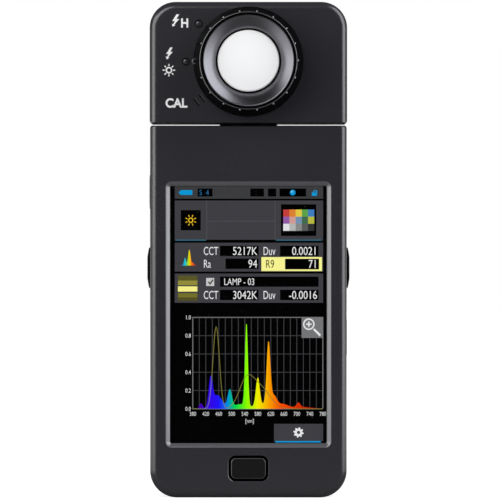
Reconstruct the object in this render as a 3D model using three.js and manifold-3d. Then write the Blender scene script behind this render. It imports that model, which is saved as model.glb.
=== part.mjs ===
import * as THREE from 'three';
import { mergeVertices } from 'three/addons/utils/BufferGeometryUtils.js';
import Module from 'manifold-3d';

// Handheld spectrometer for lamp light: a body with a touch screen, and a receptor head that
// swivels on a neck. Lengths are millimetres and angles are degrees.
// +X is right, -Y is the front and +Z is up. The origin is the middle of the base.

const wasm = await Module();
wasm.setup();

// Case
const headLip = 0.2; // how much wider the head is than the body, at each side
const headGap = 0.9;
const wall = 1.8;
const bezelDepth = 6.5; // from the front face back to the seam between the covers

// Corners, seen from the front, and edge roundings, seen from the side
const baseCorner = 10;
const crownCorner = 9.6;
const neckCorner = 1;
const neckRound = 0.4; // most that the edges beside the neck gap are drawn in
const leastCorner = 0.25;
const frontRound = 2.3;
const backRound = 4;
const innerBackRound = 1.2;

// Clearances
const seatGap = 0.3; // between pieces that rest on each other
const runGap = 0.35; // around pieces that move
const overrun = 1; // how far a cut passes the face that it opens

// Power key, under the window
const powerKey = {
  width: 12.7, height: 7.7, corner: 1.7, recess: 0.3, margin: 0.9, edge: 0.5, centre: 10.6,
};

// Display window
const sideBorder = 7.35;
const windowKeyGap = 5.65;
const windowHeight = 94.9;
const windowTopBorder = 22.2;
const windowCorner = 0.6;
const bevelWidth = 1.65;
const bevelDepth = 1.1;
const lipThickness = 0.3;

// Layers from the front to the back
const glassThickness = 1.1;
const lcdThickness = 2.6;
const chassisThickness = 0.8;
const boardThickness = 1.6;
const holderFloor = 1.1;
const cellDiameter = 14.5;
const layerGaps = 7;

// Battery bay, across the case from wall to wall
const cellLength = 50.5;
const contactRoom = 3.35;
const holderWall = 1.2;
const holderSideRoom = 4.7;

// Select ring, which the head is sized for
const ringBaseRadius = 20.3;
const ringLowBorder = 2.45;
const ringHighBorder = 1.85;

// Facets
const cornerSteps = 4;
const roundSteps = 3;
const roundSides = 24;
const largeSides = 54;
const smallSides = 10;
const quarterTurn = 90;
const halfTurn = 180;
const fullTurn = 360;

// Places that several pieces share
const holderInnerHalf = cellLength / 2 + contactRoom;
const holderOuterHalf = holderInnerHalf + holderWall;
const bodyWidth = 2 * (holderOuterHalf + holderSideRoom + wall);
const headWidth = bodyWidth + 2 * headLip;
const windowBottom = powerKey.centre + powerKey.height / 2 + windowKeyGap;
const bodyHeight = windowBottom + windowHeight + windowTopBorder;
const headLow = bodyHeight + headGap;
const ringHeight = headLow + ringLowBorder + ringBaseRadius;
const totalHeight = ringHeight + ringBaseRadius + ringHighBorder;
const depth = bevelDepth + lipThickness + glassThickness + lcdThickness + chassisThickness
  + boardThickness + holderFloor + cellDiameter + wall + layerGaps * seatGap;
const frontFace = -depth / 2;
const backFace = depth / 2;
const frontInner = frontFace + wall;
const backInner = backFace - wall;
const bodyInnerHalf = bodyWidth / 2 - wall;
const headInnerHalf = headWidth / 2 - wall;
const seam = frontFace + bezelDepth;
const glassFront = frontFace + bevelDepth + lipThickness + seatGap;
const lcdFront = glassFront + glassThickness + seatGap;
const chassisFront = lcdFront + lcdThickness + seatGap;
const boardFront = chassisFront + chassisThickness + seatGap;
const boardBack = boardFront + boardThickness;
const holderFront = boardBack + seatGap;
const cellFront = holderFront + holderFloor + seatGap;

const bodyOutline = {
  half: bodyWidth / 2,
  low: 0,
  high: bodyHeight,
  lowCorner: baseCorner,
  highCorner: neckCorner,
  neckEnd: 'high',
};
const headOutline = {
  half: headWidth / 2,
  low: headLow,
  high: totalHeight,
  lowCorner: neckCorner,
  highCorner: crownCorner,
  neckEnd: 'low',
};
const windowOutline = {
  half: bodyWidth / 2 - sideBorder,
  low: windowBottom,
  high: bodyHeight - windowTopBorder,
  lowCorner: windowCorner,
  highCorner: windowCorner,
};

// Finishes
const finishes = {
  shell: { color: 0x2f2e33, roughness: 0.55, metalness: 0 },
  blackPlastic: { color: 0x101013, roughness: 0.4, metalness: 0 },
  darkPlastic: { color: 0x1b1b1e, roughness: 0.6, metalness: 0 },
  glass: { color: 0x0c0e10, roughness: 0.08, metalness: 0 },
  screen: { color: 0x14181c, roughness: 0.3, metalness: 0 },
  dish: { color: 0xb4b3b8, roughness: 0.35, metalness: 1 },
  diffuser: { color: 0xf7f7f5, roughness: 0.6, metalness: 0 },
  steel: { color: 0xa9abad, roughness: 0.35, metalness: 1 },
  brass: { color: 0xc4a35a, roughness: 0.35, metalness: 1 },
  aluminium: { color: 0x8d8f92, roughness: 0.45, metalness: 1 },
  board: { color: 0x1d5a36, roughness: 0.5, metalness: 0 },
  rubber: { color: 0x19191b, roughness: 0.8, metalness: 0 },
  cell: { color: 0x3f5f86, roughness: 0.35, metalness: 0.3 },
  optic: { color: 0xd8dde2, roughness: 0.05, metalness: 1 },
};

const meter = new THREE.Group();

function add(name, geometry, finish) {
  const material = new THREE.MeshStandardMaterial(finishes[finish]);
  const mesh = new THREE.Mesh(closed(geometry), material);
  mesh.name = name;
  meter.add(mesh);
}

// Meshes as closed solids

function signedVolume(positions, index) {
  const a = new THREE.Vector3();
  const b = new THREE.Vector3();
  const c = new THREE.Vector3();
  let volume = 0;
  for (let corner = 0; corner < index.length; corner += 3) {
    a.fromArray(positions, 3 * index[corner]);
    b.fromArray(positions, 3 * index[corner + 1]);
    c.fromArray(positions, 3 * index[corner + 2]);
    volume += a.dot(b.cross(c));
  }
  return volume;
}

// Shared vertices merged, empty triangles dropped and faces turned outwards
function closed(geometry) {
  const bare = new THREE.BufferGeometry();
  bare.setAttribute('position', geometry.getAttribute('position').clone());
  if (geometry.index) {
    bare.setIndex(geometry.index.clone());
  }
  const merged = mergeVertices(bare);
  const positions = merged.getAttribute('position').array;
  const kept = [];
  const source = merged.index.array;
  for (let corner = 0; corner < source.length; corner += 3) {
    const [a, b, c] = [source[corner], source[corner + 1], source[corner + 2]];
    if (a !== b && b !== c && c !== a) {
      kept.push(a, b, c);
    }
  }
  if (signedVolume(positions, kept) < 0) {
    for (let corner = 0; corner < kept.length; corner += 3) {
      [kept[corner], kept[corner + 1]] = [kept[corner + 1], kept[corner]];
    }
  }
  merged.setIndex(kept);
  merged.computeVertexNormals();
  return merged;
}

function solidOf(geometry) {
  const tidy = closed(geometry);
  const vertProperties = new Float32Array(tidy.getAttribute('position').array);
  const triVerts = new Uint32Array(tidy.index.array);
  return new wasm.Manifold(new wasm.Mesh({ numProp: 3, vertProperties, triVerts }));
}

function geometryOf(solid) {
  const mesh = solid.getMesh();
  const geometry = new THREE.BufferGeometry();
  geometry.setAttribute('position', new THREE.BufferAttribute(mesh.vertProperties, mesh.numProp));
  geometry.setIndex(new THREE.BufferAttribute(mesh.triVerts, 1));
  return geometry;
}

function join(base, additions) {
  let solid = solidOf(base);
  for (const addition of additions) {
    solid = solid.add(solidOf(addition));
  }
  return geometryOf(solid);
}

function cut(base, cutters) {
  let solid = solidOf(base);
  for (const cutter of cutters) {
    solid = solid.subtract(solidOf(cutter));
  }
  return geometryOf(solid);
}

// Plain shapes, placed by the planes that bound them

function block(xLow, xHigh, yLow, yHigh, zLow, zHigh) {
  const geometry = new THREE.BoxGeometry(xHigh - xLow, yHigh - yLow, zHigh - zLow);
  return geometry.translate((xLow + xHigh) / 2, (yLow + yHigh) / 2, (zLow + zHigh) / 2);
}

function rodY(radius, yLow, yHigh, x, z, sides = roundSides) {
  const geometry = new THREE.CylinderGeometry(radius, radius, yHigh - yLow, sides);
  return geometry.translate(x, (yLow + yHigh) / 2, z);
}

function rodZ(radius, zLow, zHigh, x, y, sides = roundSides) {
  const geometry = new THREE.CylinderGeometry(radius, radius, zHigh - zLow, sides);
  return geometry.rotateX(Math.PI / 2).translate(x, y, (zLow + zHigh) / 2);
}

// A profile of [radius, height] pairs turned about the Y axis
function turnedY(profile, x, z, sides = roundSides) {
  const points = profile.map(([radius, y]) => new THREE.Vector2(radius, y));
  return new THREE.LatheGeometry(points, sides).translate(x, 0, z);
}

function turnedZ(profile, x, y, sides = roundSides) {
  const points = profile.map(([radius, z]) => new THREE.Vector2(radius, z));
  return new THREE.LatheGeometry(points, sides).rotateX(Math.PI / 2).translate(x, y, 0);
}

function turnedX(profile, y, z, sides = roundSides) {
  const points = profile.map(([radius, x]) => new THREE.Vector2(radius, x));
  return new THREE.LatheGeometry(points, sides).rotateZ(-Math.PI / 2).translate(0, y, z);
}

function washerProfile(outer, inner, low, high) {
  return [[inner, low], [outer, low], [outer, high], [inner, high], [inner, low]];
}

// Rounded slabs: outlines in X and Z, drawn in by an inset at each station along Y.
// The end beside the neck can have an inset of its own.

function outlinePoints(outline, inset, neckInset = inset) {
  const half = outline.half - inset;
  const low = outline.low + (outline.neckEnd === 'low' ? neckInset : inset);
  const high = outline.high - (outline.neckEnd === 'high' ? neckInset : inset);
  const lowRadius = Math.max(outline.lowCorner - inset, leastCorner);
  const highRadius = Math.max(outline.highCorner - inset, leastCorner);
  const corners = [
    [half - lowRadius, low + lowRadius, lowRadius, -quarterTurn],
    [half - highRadius, high - highRadius, highRadius, 0],
    [highRadius - half, high - highRadius, highRadius, quarterTurn],
    [lowRadius - half, low + lowRadius, lowRadius, halfTurn],
  ];
  const points = [];
  for (const [x, z, radius, start] of corners) {
    for (let step = 0; step <= cornerSteps; step += 1) {
      const angle = THREE.MathUtils.degToRad(start + (quarterTurn * step) / cornerSteps);
      points.push([x + radius * Math.cos(angle), z + radius * Math.sin(angle)]);
    }
  }
  return points;
}

function slab(outline, stations, centreX = 0) {
  const positions = [];
  const index = [];
  const rings = stations.map(([y, inset, neckInset]) => (
    outlinePoints(outline, inset, neckInset).map(([x, z]) => [x, y, z])
  ));
  const count = rings[0].length;
  rings.forEach((ring) => ring.forEach(([x, y, z]) => positions.push(x + centreX, y, z)));
  for (let ring = 0; ring + 1 < rings.length; ring += 1) {
    for (let point = 0; point < count; point += 1) {
      const next = (point + 1) % count;
      const [a, b] = [ring * count + point, ring * count + next];
      index.push(a, b, b + count, a, b + count, a + count);
    }
  }
  const lastRing = (rings.length - 1) * count;
  const middleZ = (outline.low + outline.high) / 2;
  const frontCentre = positions.length / 3;
  positions.push(centreX, stations[0][0], middleZ);
  positions.push(centreX, stations[stations.length - 1][0], middleZ);
  for (let point = 0; point < count; point += 1) {
    const next = (point + 1) % count;
    index.push(frontCentre, next, point);
    index.push(frontCentre + 1, lastRing + point, lastRing + next);
  }
  const geometry = new THREE.BufferGeometry();
  geometry.setAttribute('position', new THREE.Float32BufferAttribute(positions, 3));
  geometry.setIndex(index);
  return geometry;
}

// One station of a quarter-round edge that ends at a face
function edgeStation(face, inwards, radius, step, inset) {
  const angle = THREE.MathUtils.degToRad((quarterTurn * step) / roundSteps);
  const drawn = radius * (1 - Math.cos(angle));
  const y = face + inwards * radius * (1 - Math.sin(angle));
  return [y, inset + drawn, inset + Math.min(drawn, neckRound)];
}

// Stations of a slab with quarter-round edges, inside its outline by an inset
function roundedStations(front, back, frontRadius, backRadius, inset = 0) {
  const stations = [];
  for (let step = roundSteps; step >= 0; step -= 1) {
    stations.push(edgeStation(front, 1, frontRadius, step, inset));
  }
  for (let step = 0; step <= roundSteps; step += 1) {
    stations.push(edgeStation(back, -1, backRadius, step, inset));
  }
  return stations;
}

function straightStations(front, back, inset = 0) {
  return [[front, inset], [back, inset]];
}

// Covers: a hollow case of one wall, parted at the seam
function hollowCase(outline) {
  const outer = slab(outline, roundedStations(frontFace, backFace, frontRound, backRound));
  const innerFront = Math.max(frontRound - wall, leastCorner);
  const inner = slab(outline, roundedStations(frontInner, backInner, innerFront, innerBackRound, wall));
  return cut(outer, [inner]);
}

function frontHalf(outline) {
  const side = outline.half + overrun;
  const [low, high] = [outline.low - overrun, outline.high + overrun];
  const away = block(-side, side, seam - seatGap / 2, backFace + overrun, low, high);
  return cut(hollowCase(outline), [away]);
}

function rearHalf(outline) {
  const side = outline.half + overrun;
  const [low, high] = [outline.low - overrun, outline.high + overrun];
  const away = block(-side, side, frontFace - overrun, seam + seatGap / 2, low, high);
  return cut(hollowCase(outline), [away]);
}

// Screws that draw a rear cover onto a front cover
const screwRadius = 0.8;
const screwHeadRadius = 1.45;
const screwHeadHeight = 1.2;
const screwHeadDepth = 0.6; // how deep the head lies below the back face
const screwTipGap = 1;
const screwSlotWidth = 0.4;
const screwSlotDepth = 0.5;
const bossSink = 0.2; // how far a boss stands into the side wall
const glassLap = 1.05;
const bossRadius = (sideBorder - wall - glassLap - seatGap + bossSink) / 2;
const bossX = bodyInnerHalf + bossSink - bossRadius;

function frontBoss(x, z) {
  return rodY(bossRadius, frontInner - wall / 2, seam - seatGap / 2, x, z, smallSides);
}

function rearBoss(x, z) {
  return rodY(bossRadius, seam + seatGap / 2, backInner + wall / 2, x, z, smallSides);
}

function screwBore(x, z) {
  const bore = screwRadius + seatGap;
  const headBore = screwHeadRadius + seatGap;
  const floor = backFace - screwHeadDepth - screwHeadHeight - seatGap;
  return turnedY([
    [0, frontInner],
    [bore, frontInner],
    [bore, floor],
    [headBore, floor],
    [headBore, backFace + overrun],
    [0, backFace + overrun],
  ], x, z, smallSides);
}

function screw(x, z) {
  const headTop = backFace - screwHeadDepth;
  const headBottom = headTop - screwHeadHeight;
  const body = turnedY([
    [0, frontInner + screwTipGap],
    [screwRadius, frontInner + screwTipGap],
    [screwRadius, headBottom],
    [screwHeadRadius, headBottom],
    [screwHeadRadius, headTop],
    [0, headTop],
  ], x, z, smallSides);
  const reach = screwHeadRadius + overrun;
  const half = screwSlotWidth / 2;
  const slotFloor = headTop - screwSlotDepth;
  return cut(body, [
    block(x - reach, x + reach, slotFloor, headTop + overrun, z - half, z + half),
    block(x - half, x + half, slotFloor, headTop + overrun, z - reach, z + reach),
  ]);
}

// Neck: a hollow spool through both walls, with a collar that fills the gap between body and head
const neckRadius = 9.3;
const neckBore = 7.3;
const neckFlangeRadius = 10.5;
const neckFlange = 2;
const neckTopFlange = 1.1;
const collarRadius = 10.7; // as wide as the dark stretch in the gap
const collarGap = 0.2;
const washerThickness = 0.7;
const neckWasherHigh = bodyHeight - wall - seatGap;
const neckWasherLow = neckWasherHigh - washerThickness;
const neckFlangeHigh = neckWasherLow - seatGap;
const neckFlangeLow = neckFlangeHigh - neckFlange;
const neckTopLow = headLow + wall + seatGap;
const neckTopHigh = neckTopLow + neckTopFlange;

function neckHole(zLow, zHigh) {
  return rodZ(neckRadius + runGap, zLow, zHigh, 0, 0, roundSides);
}

function neckTube() {
  return turnedZ([
    [neckBore, neckFlangeLow],
    [neckFlangeRadius, neckFlangeLow],
    [neckFlangeRadius, neckFlangeHigh],
    [neckRadius, neckFlangeHigh],
    [neckRadius, bodyHeight + collarGap],
    [collarRadius, bodyHeight + collarGap],
    [collarRadius, headLow - collarGap],
    [neckRadius, headLow - collarGap],
    [neckRadius, neckTopLow],
    [neckFlangeRadius, neckTopLow],
    [neckFlangeRadius, neckTopHigh],
    [neckBore, neckTopHigh],
    [neckBore, neckFlangeLow],
  ], 0, 0, roundSides);
}

function neckWasher() {
  const inner = neckRadius + runGap;
  return turnedZ(washerProfile(neckFlangeRadius, inner, neckWasherLow, neckWasherHigh), 0, 0, roundSides);
}

// Keys. A key is drawn facing the front, with its travel along Y, and is turned to its side.
const keyFlange = 1.2; // width of the flange behind the wall
const flangeThickness = 1.4;
const keyTravel = 0.6;
const stopGap = 0.2; // left between key and switch when the key is pressed
const switchDepth = 4.5;
const switchHalf = 3.5;

const measureButton = {
  width: 8, length: 14.8, step: 0.5, proud: 1.1, riseShare: 0.4592, centreY: 0.5,
};
const memoryKey = {
  width: 5, length: 13, step: 0.25, proud: 0.5, riseShare: 0.7497, centreY: 0.5,
};

function grown(outline, by) {
  return {
    half: outline.half + by,
    low: outline.low - by,
    high: outline.high + by,
    lowCorner: outline.lowCorner + by,
    highCorner: outline.highCorner + by,
  };
}

function powerOutline() {
  return {
    half: powerKey.width / 2,
    low: powerKey.centre - powerKey.height / 2,
    high: powerKey.centre + powerKey.height / 2,
    lowCorner: powerKey.corner,
    highCorner: powerKey.corner,
  };
}

function powerKeyGeometry() {
  const outline = powerOutline();
  const face = frontFace + powerKey.recess;
  const flangeFront = frontInner + seatGap;
  const flangeBack = flangeFront + flangeThickness;
  const cap = slab(outline, roundedStations(face, flangeBack, powerKey.edge, leastCorner));
  const flange = grown(outline, powerKey.margin + keyFlange);
  return join(cap, [slab(flange, straightStations(flangeFront, flangeBack))]);
}

function powerHole() {
  const outline = grown(powerOutline(), powerKey.margin);
  return slab(outline, straightStations(frontFace - overrun, frontInner + overrun));
}

const powerSwitchFront = frontInner + seatGap + flangeThickness + keyTravel + stopGap;

function powerSwitch() {
  const half = switchHalf;
  const back = boardFront - seatGap;
  return block(-half, half, powerSwitchFront, back, powerKey.centre - half, powerKey.centre + half);
}

// A height on the case's sides, as a share of the stretch from the battery holder to the top
function sideHeight(riseShare) {
  return holderHigh + riseShare * (bodyHeight - holderHigh);
}

// Side keys: an oblong cap that domes along its length, with a flange inside the wall
function sideOutline(key) {
  const centre = sideHeight(key.riseShare);
  return {
    half: key.width / 2,
    low: centre - key.length / 2,
    high: centre + key.length / 2,
    lowCorner: key.width / 2 - leastCorner,
    highCorner: key.width / 2 - leastCorner,
  };
}

const domeSteps = 3;

function sideKeyGeometry(key, side) {
  const outline = sideOutline(key);
  const flangeOuter = bodyInnerHalf - runGap;
  const flangeInner = flangeOuter - flangeThickness;
  const stations = [];
  for (let step = domeSteps; step > 0; step -= 1) {
    const share = step / (domeSteps + 1);
    const height = key.step + (key.proud - key.step) * Math.sqrt(share);
    stations.push([-(bodyWidth / 2 + height), share * share * (key.width / 2)]);
  }
  stations.push([-(bodyWidth / 2 + key.step), 0]);
  stations.push([-flangeInner, 0]);
  const cap = slab(outline, stations);
  const flange = slab(grown(outline, keyFlange), straightStations(-flangeOuter, -flangeInner));
  const whole = join(cap, [flange]);
  return whole.rotateZ((side * Math.PI) / 2).translate(0, key.centreY, 0);
}

function sideHole(key, side) {
  const outline = grown(sideOutline(key), runGap);
  const hole = slab(outline, straightStations(-(bodyWidth / 2 + overrun), -(bodyInnerHalf - overrun)));
  return hole.rotateZ((side * Math.PI) / 2).translate(0, key.centreY, 0);
}

function sideSwitch(key, side) {
  const outer = bodyInnerHalf - runGap - flangeThickness - keyTravel - stopGap;
  const inner = outer - switchDepth;
  const centre = sideHeight(key.riseShare);
  const [xLow, xHigh] = side > 0 ? [inner, outer] : [-outer, -inner];
  const yHigh = key.centreY + key.width / 4;
  return block(xLow, xHigh, boardBack + seatGap, yHigh, centre - switchHalf, centre + switchHalf);
}

// Window, glass, LCD and chassis
const chassisRim = 0.7;
const chassisRimHeight = 2;
const glassOutline = grown(windowOutline, glassLap);

function windowCut() {
  const lipBack = frontFace + bevelDepth + lipThickness;
  const slope = bevelWidth / bevelDepth;
  const opening = slab(windowOutline, [
    [frontFace - overrun, -bevelWidth - overrun * slope],
    [frontFace + bevelDepth, 0],
    [lipBack + overrun, 0],
  ]);
  const pocket = slab(grown(glassOutline, seatGap), straightStations(lipBack, frontInner + overrun));
  return join(opening, [pocket]);
}

function touchGlass() {
  return slab(glassOutline, straightStations(glassFront, glassFront + glassThickness));
}

function lcdModule() {
  return slab(glassOutline, straightStations(lcdFront, lcdFront + lcdThickness, chassisRim + seatGap));
}

function displayChassis() {
  const rimFront = chassisFront - chassisRimHeight;
  const plate = slab(glassOutline, straightStations(rimFront, chassisFront + chassisThickness));
  const pocket = slab(glassOutline, straightStations(rimFront - overrun, chassisFront, chassisRim));
  return cut(plate, [pocket]);
}

// Case screws, in columns at both sides
const lowScrewHeight = 15;
const highScrewDrop = 9.2;
const bodyScrewPlaces = [
  [-bossX, lowScrewHeight],
  [bossX, lowScrewHeight],
  [-bossX, bodyHeight - highScrewDrop],
  [bossX, bodyHeight - highScrewDrop],
];

// Main board
const boardSideMargin = 3.5;
const boardLowMargin = 3.5;
const boardHighGap = 1;

function mainBoard() {
  const margin = wall + boardSideMargin;
  const outline = {
    half: bodyWidth / 2 - margin,
    low: wall + boardLowMargin,
    high: neckFlangeLow - boardHighGap,
    lowCorner: baseCorner - wall,
    highCorner: neckCorner,
  };
  const plate = slab(outline, straightStations(boardFront, boardBack));
  const notches = bodyScrewPlaces.map(([x, z]) => (
    rodY(bossRadius + seatGap, boardFront - overrun, boardBack + overrun, x, z, smallSides)
  ));
  return cut(plate, notches);
}

// Battery holder with two cells that lie across the body
const cellNubRadius = 2.7;
const cellNubLength = 1.2;
const cellSideRoom = 0.4;
const cellSpacing = 0.9;
const holderBaseGap = 5.4;
const holderLow = wall + holderBaseGap;
const holderInnerLow = holderLow + holderWall;
const lowCellHeight = holderInnerLow + cellSideRoom + cellDiameter / 2;
const highCellHeight = lowCellHeight + cellDiameter + cellSpacing;
const holderInnerHigh = highCellHeight + cellDiameter / 2 + cellSideRoom;
const holderHigh = holderInnerHigh + holderWall;
const holderBack = backInner - seatGap;
const cellMiddle = cellFront + cellDiameter / 2;

function batteryHolder() {
  const tray = block(-holderOuterHalf, holderOuterHalf, holderFront, holderBack, holderLow, holderHigh);
  const floor = holderFront + holderFloor;
  return cut(tray, [
    block(-holderInnerHalf, holderInnerHalf, floor, holderBack + overrun, holderInnerLow, holderInnerHigh),
  ]);
}

// A cell's nub points to +X when direction is 1 and to -X when it is -1
function batteryCell(height, direction) {
  const edge = cellSideRoom;
  const half = cellLength / 2;
  const shoulder = half - cellNubLength;
  const cell = turnedX([
    [0, -half],
    [cellDiameter / 2 - edge, -half],
    [cellDiameter / 2, -half + edge],
    [cellDiameter / 2, shoulder - edge],
    [cellDiameter / 2 - edge, shoulder],
    [cellNubRadius, shoulder],
    [cellNubRadius, half],
    [0, half],
  ], 0, 0);
  if (direction < 0) {
    cell.rotateZ(Math.PI);
  }
  return cell.translate(0, cellMiddle, height);
}

const contactPlate = 0.4;
const contactHalf = 5;
const springLargeRadius = 4.2;
const springSmallRadius = 2.2;

// A contact plate on the holder's end wall, with a cone for each cell that has its flat end there
function batteryContact(side, lowHeight, highHeight, springHeights) {
  const wallFace = holderInnerHalf - seatGap;
  const inner = wallFace - contactPlate;
  const [xLow, xHigh] = side > 0 ? [inner, wallFace] : [-wallFace, -inner];
  const [yLow, yHigh] = [cellMiddle - contactHalf, cellMiddle + contactHalf];
  const plate = block(xLow, xHigh, yLow, yHigh, lowHeight - contactHalf, highHeight + contactHalf);
  const tip = cellLength / 2 + seatGap;
  const cones = springHeights.map((height) => {
    const cone = turnedX([
      [0, tip],
      [springSmallRadius, tip],
      [springLargeRadius, inner + contactPlate / 2],
      [0, inner + contactPlate / 2],
    ], 0, 0, smallSides);
    if (side < 0) {
      cone.rotateZ(Math.PI);
    }
    return cone.translate(0, cellMiddle, height);
  });
  return join(plate, cones);
}

// Battery lid, flush with the back face
const lidLap = 0.6; // how far the lid reaches over the holder's walls
const lidCorner = 2.5;
const lidGripWidth = 14;
const lidGripHeight = 1;
const lidGripPitch = 2.2;
const lidGripDepth = 0.5;
const lidGripCount = 4;
const lidGripDrop = 3;

function lidOutline() {
  return {
    half: holderInnerHalf + lidLap,
    low: holderInnerLow - lidLap,
    high: holderInnerHigh + lidLap,
    lowCorner: lidCorner,
    highCorner: lidCorner,
  };
}

function batteryLid() {
  const plate = slab(lidOutline(), roundedStations(backInner, backFace, leastCorner, leastCorner));
  const grips = [];
  for (let grip = 0; grip < lidGripCount; grip += 1) {
    const high = holderInnerHigh - lidGripDrop - grip * lidGripPitch;
    const half = lidGripWidth / 2;
    grips.push(block(-half, half, backFace - lidGripDepth, backFace + overrun, high - lidGripHeight, high));
  }
  return cut(plate, grips);
}

function lidOpening() {
  return slab(grown(lidOutline(), seatGap), straightStations(backInner - overrun, backFace + overrun));
}

// Tripod insert in a closed boss on the back
const tripodDrop = 53.2;
const tripodRadius = 5.5;
const tripodBore = 3.2;
const tripodLength = 9;
const tripodRecess = 0.2;
const tripodWall = 1.4;
const tripodHeight = bodyHeight - tripodDrop;

function tripodBoss() {
  const radius = tripodRadius + seatGap + tripodWall;
  const front = backFace - tripodRecess - tripodLength - seatGap - tripodWall;
  return rodY(radius, front, backInner + wall / 2, 0, tripodHeight, roundSides);
}

function tripodPocket() {
  const floor = backFace - tripodRecess - tripodLength - seatGap;
  return rodY(tripodRadius + seatGap, floor, backFace + overrun, 0, tripodHeight, roundSides);
}

function tripodInsert() {
  const back = backFace - tripodRecess;
  const profile = washerProfile(tripodRadius, tripodBore, back - tripodLength, back);
  return turnedY(profile, 0, tripodHeight, roundSides);
}

// Strap pin across a pocket in the left side
const strapRiseShare = 0.1723;
const strapPocketLength = 10;
const strapPocketWidth = 6;
const strapPocketDepth = 4;
const strapWall = 1.4;
const strapPinRadius = 0.8;
const strapPinGrip = 0.9; // how far the pin stands into each end wall
const strapPinInset = 1.4;
const strapY = 6;
const strapHeight = sideHeight(strapRiseShare);

function strapPocketHousing() {
  const halfLength = strapPocketLength / 2 + strapWall;
  const halfWidth = strapPocketWidth / 2 + strapWall;
  const inner = bodyWidth / 2 - strapPocketDepth - strapWall;
  return block(
    -(bodyInnerHalf + wall / 2), -inner,
    strapY - halfWidth, strapY + halfWidth,
    strapHeight - halfLength, strapHeight + halfLength,
  );
}

function strapPocket() {
  const halfLength = strapPocketLength / 2;
  const halfWidth = strapPocketWidth / 2;
  const floor = bodyWidth / 2 - strapPocketDepth;
  const pocket = block(
    -(bodyWidth / 2 + overrun), -floor,
    strapY - halfWidth, strapY + halfWidth,
    strapHeight - halfLength, strapHeight + halfLength,
  );
  const reach = halfLength + strapPinGrip + seatGap;
  const pinX = -(bodyWidth / 2 - strapPinInset);
  const pinHole = rodZ(
    strapPinRadius + seatGap, strapHeight - reach, strapHeight + reach, pinX, strapY, smallSides,
  );
  return join(pocket, [pinHole]);
}

function strapPin() {
  const reach = strapPocketLength / 2 + strapPinGrip;
  const pinX = -(bodyWidth / 2 - strapPinInset);
  return rodZ(strapPinRadius, strapHeight - reach, strapHeight + reach, pinX, strapY, smallSides);
}

// USB connector on the right side, behind a hinged rubber cover
const portRiseShare = 0.193;
const usbLength = 7.6;
const usbHeight = 2.9;
const usbDepth = 6;
const usbWall = 0.4;
const portMargin = 0.2;
const portRecess = 0.9;
const coverLength = 13.4;
const coverWidth = 5.4;
const coverProud = 0.2;
const coverCorner = 1.2;
const tongueLength = 0.9;
const portHeight = sideHeight(portRiseShare);
const portY = boardBack + seatGap + usbHeight / 2;

function portOutline(length, width, corner) {
  return {
    half: width / 2,
    low: portHeight - length / 2,
    high: portHeight + length / 2,
    lowCorner: corner,
    highCorner: corner,
  };
}

function towardsRight(geometry, y) {
  return geometry.rotateZ(Math.PI / 2).translate(0, y, 0);
}

function usbConnector() {
  const outer = bodyInnerHalf - seatGap;
  const inner = outer - usbDepth;
  const shell = block(
    inner, outer, portY - usbHeight / 2, portY + usbHeight / 2,
    portHeight - usbLength / 2, portHeight + usbLength / 2,
  );
  const mouth = block(
    inner + usbWall, outer + overrun,
    portY - usbHeight / 2 + usbWall, portY + usbHeight / 2 - usbWall,
    portHeight - usbLength / 2 + usbWall, portHeight + usbLength / 2 - usbWall,
  );
  return cut(shell, [mouth]);
}

function portHole() {
  const recess = slab(
    portOutline(coverLength + 2 * seatGap, coverWidth + 2 * seatGap, coverCorner),
    straightStations(-(bodyWidth / 2 + overrun), -(bodyWidth / 2 - portRecess)),
  );
  const hole = slab(
    portOutline(usbLength + 2 * portMargin, usbHeight + 2 * portMargin, leastCorner),
    straightStations(-bodyWidth / 2, -(bodyInnerHalf - overrun)),
  );
  return towardsRight(join(recess, [hole]), portY);
}

function portCover() {
  const floor = bodyWidth / 2 - portRecess + seatGap;
  const plate = slab(
    portOutline(coverLength, coverWidth, coverCorner),
    roundedStations(-(bodyWidth / 2 + coverProud), -floor, leastCorner, leastCorner),
  );
  const trim = 2 * (seatGap - portMargin);
  const tongue = slab(
    portOutline(usbLength - trim, usbHeight - trim, leastCorner),
    straightStations(-floor - leastCorner, -(floor - tongueLength)),
  );
  return towardsRight(join(plate, [tongue]), portY);
}

// Neck cable on the swivel axis, between a header on the main board and a socket in the head
const cableRadius = 2.5;
const headerHalf = 6;
const headerHeight = 4;
const headerHighGap = 6;
const socketHalfDepth = 3;
const headerHigh = neckFlangeLow - headerHighGap;
const benchDrop = 9.35; // from the ring's axis down to the optical bench's lower face
const benchLow = ringHeight - benchDrop;
const socketHeight = 6;
const socketLow = benchLow - seatGap - socketHeight;

function boardCableHeader() {
  return block(
    -headerHalf, headerHalf, boardBack + seatGap, cableRadius,
    headerHigh - headerHeight, headerHigh,
  );
}

function neckCable() {
  return rodZ(cableRadius, headerHigh + seatGap, socketLow - seatGap, 0, 0, smallSides);
}

function headCableSocket() {
  return block(
    -headerHalf, headerHalf, -socketHalfDepth, socketHalfDepth, socketLow, socketLow + socketHeight,
  );
}

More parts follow.
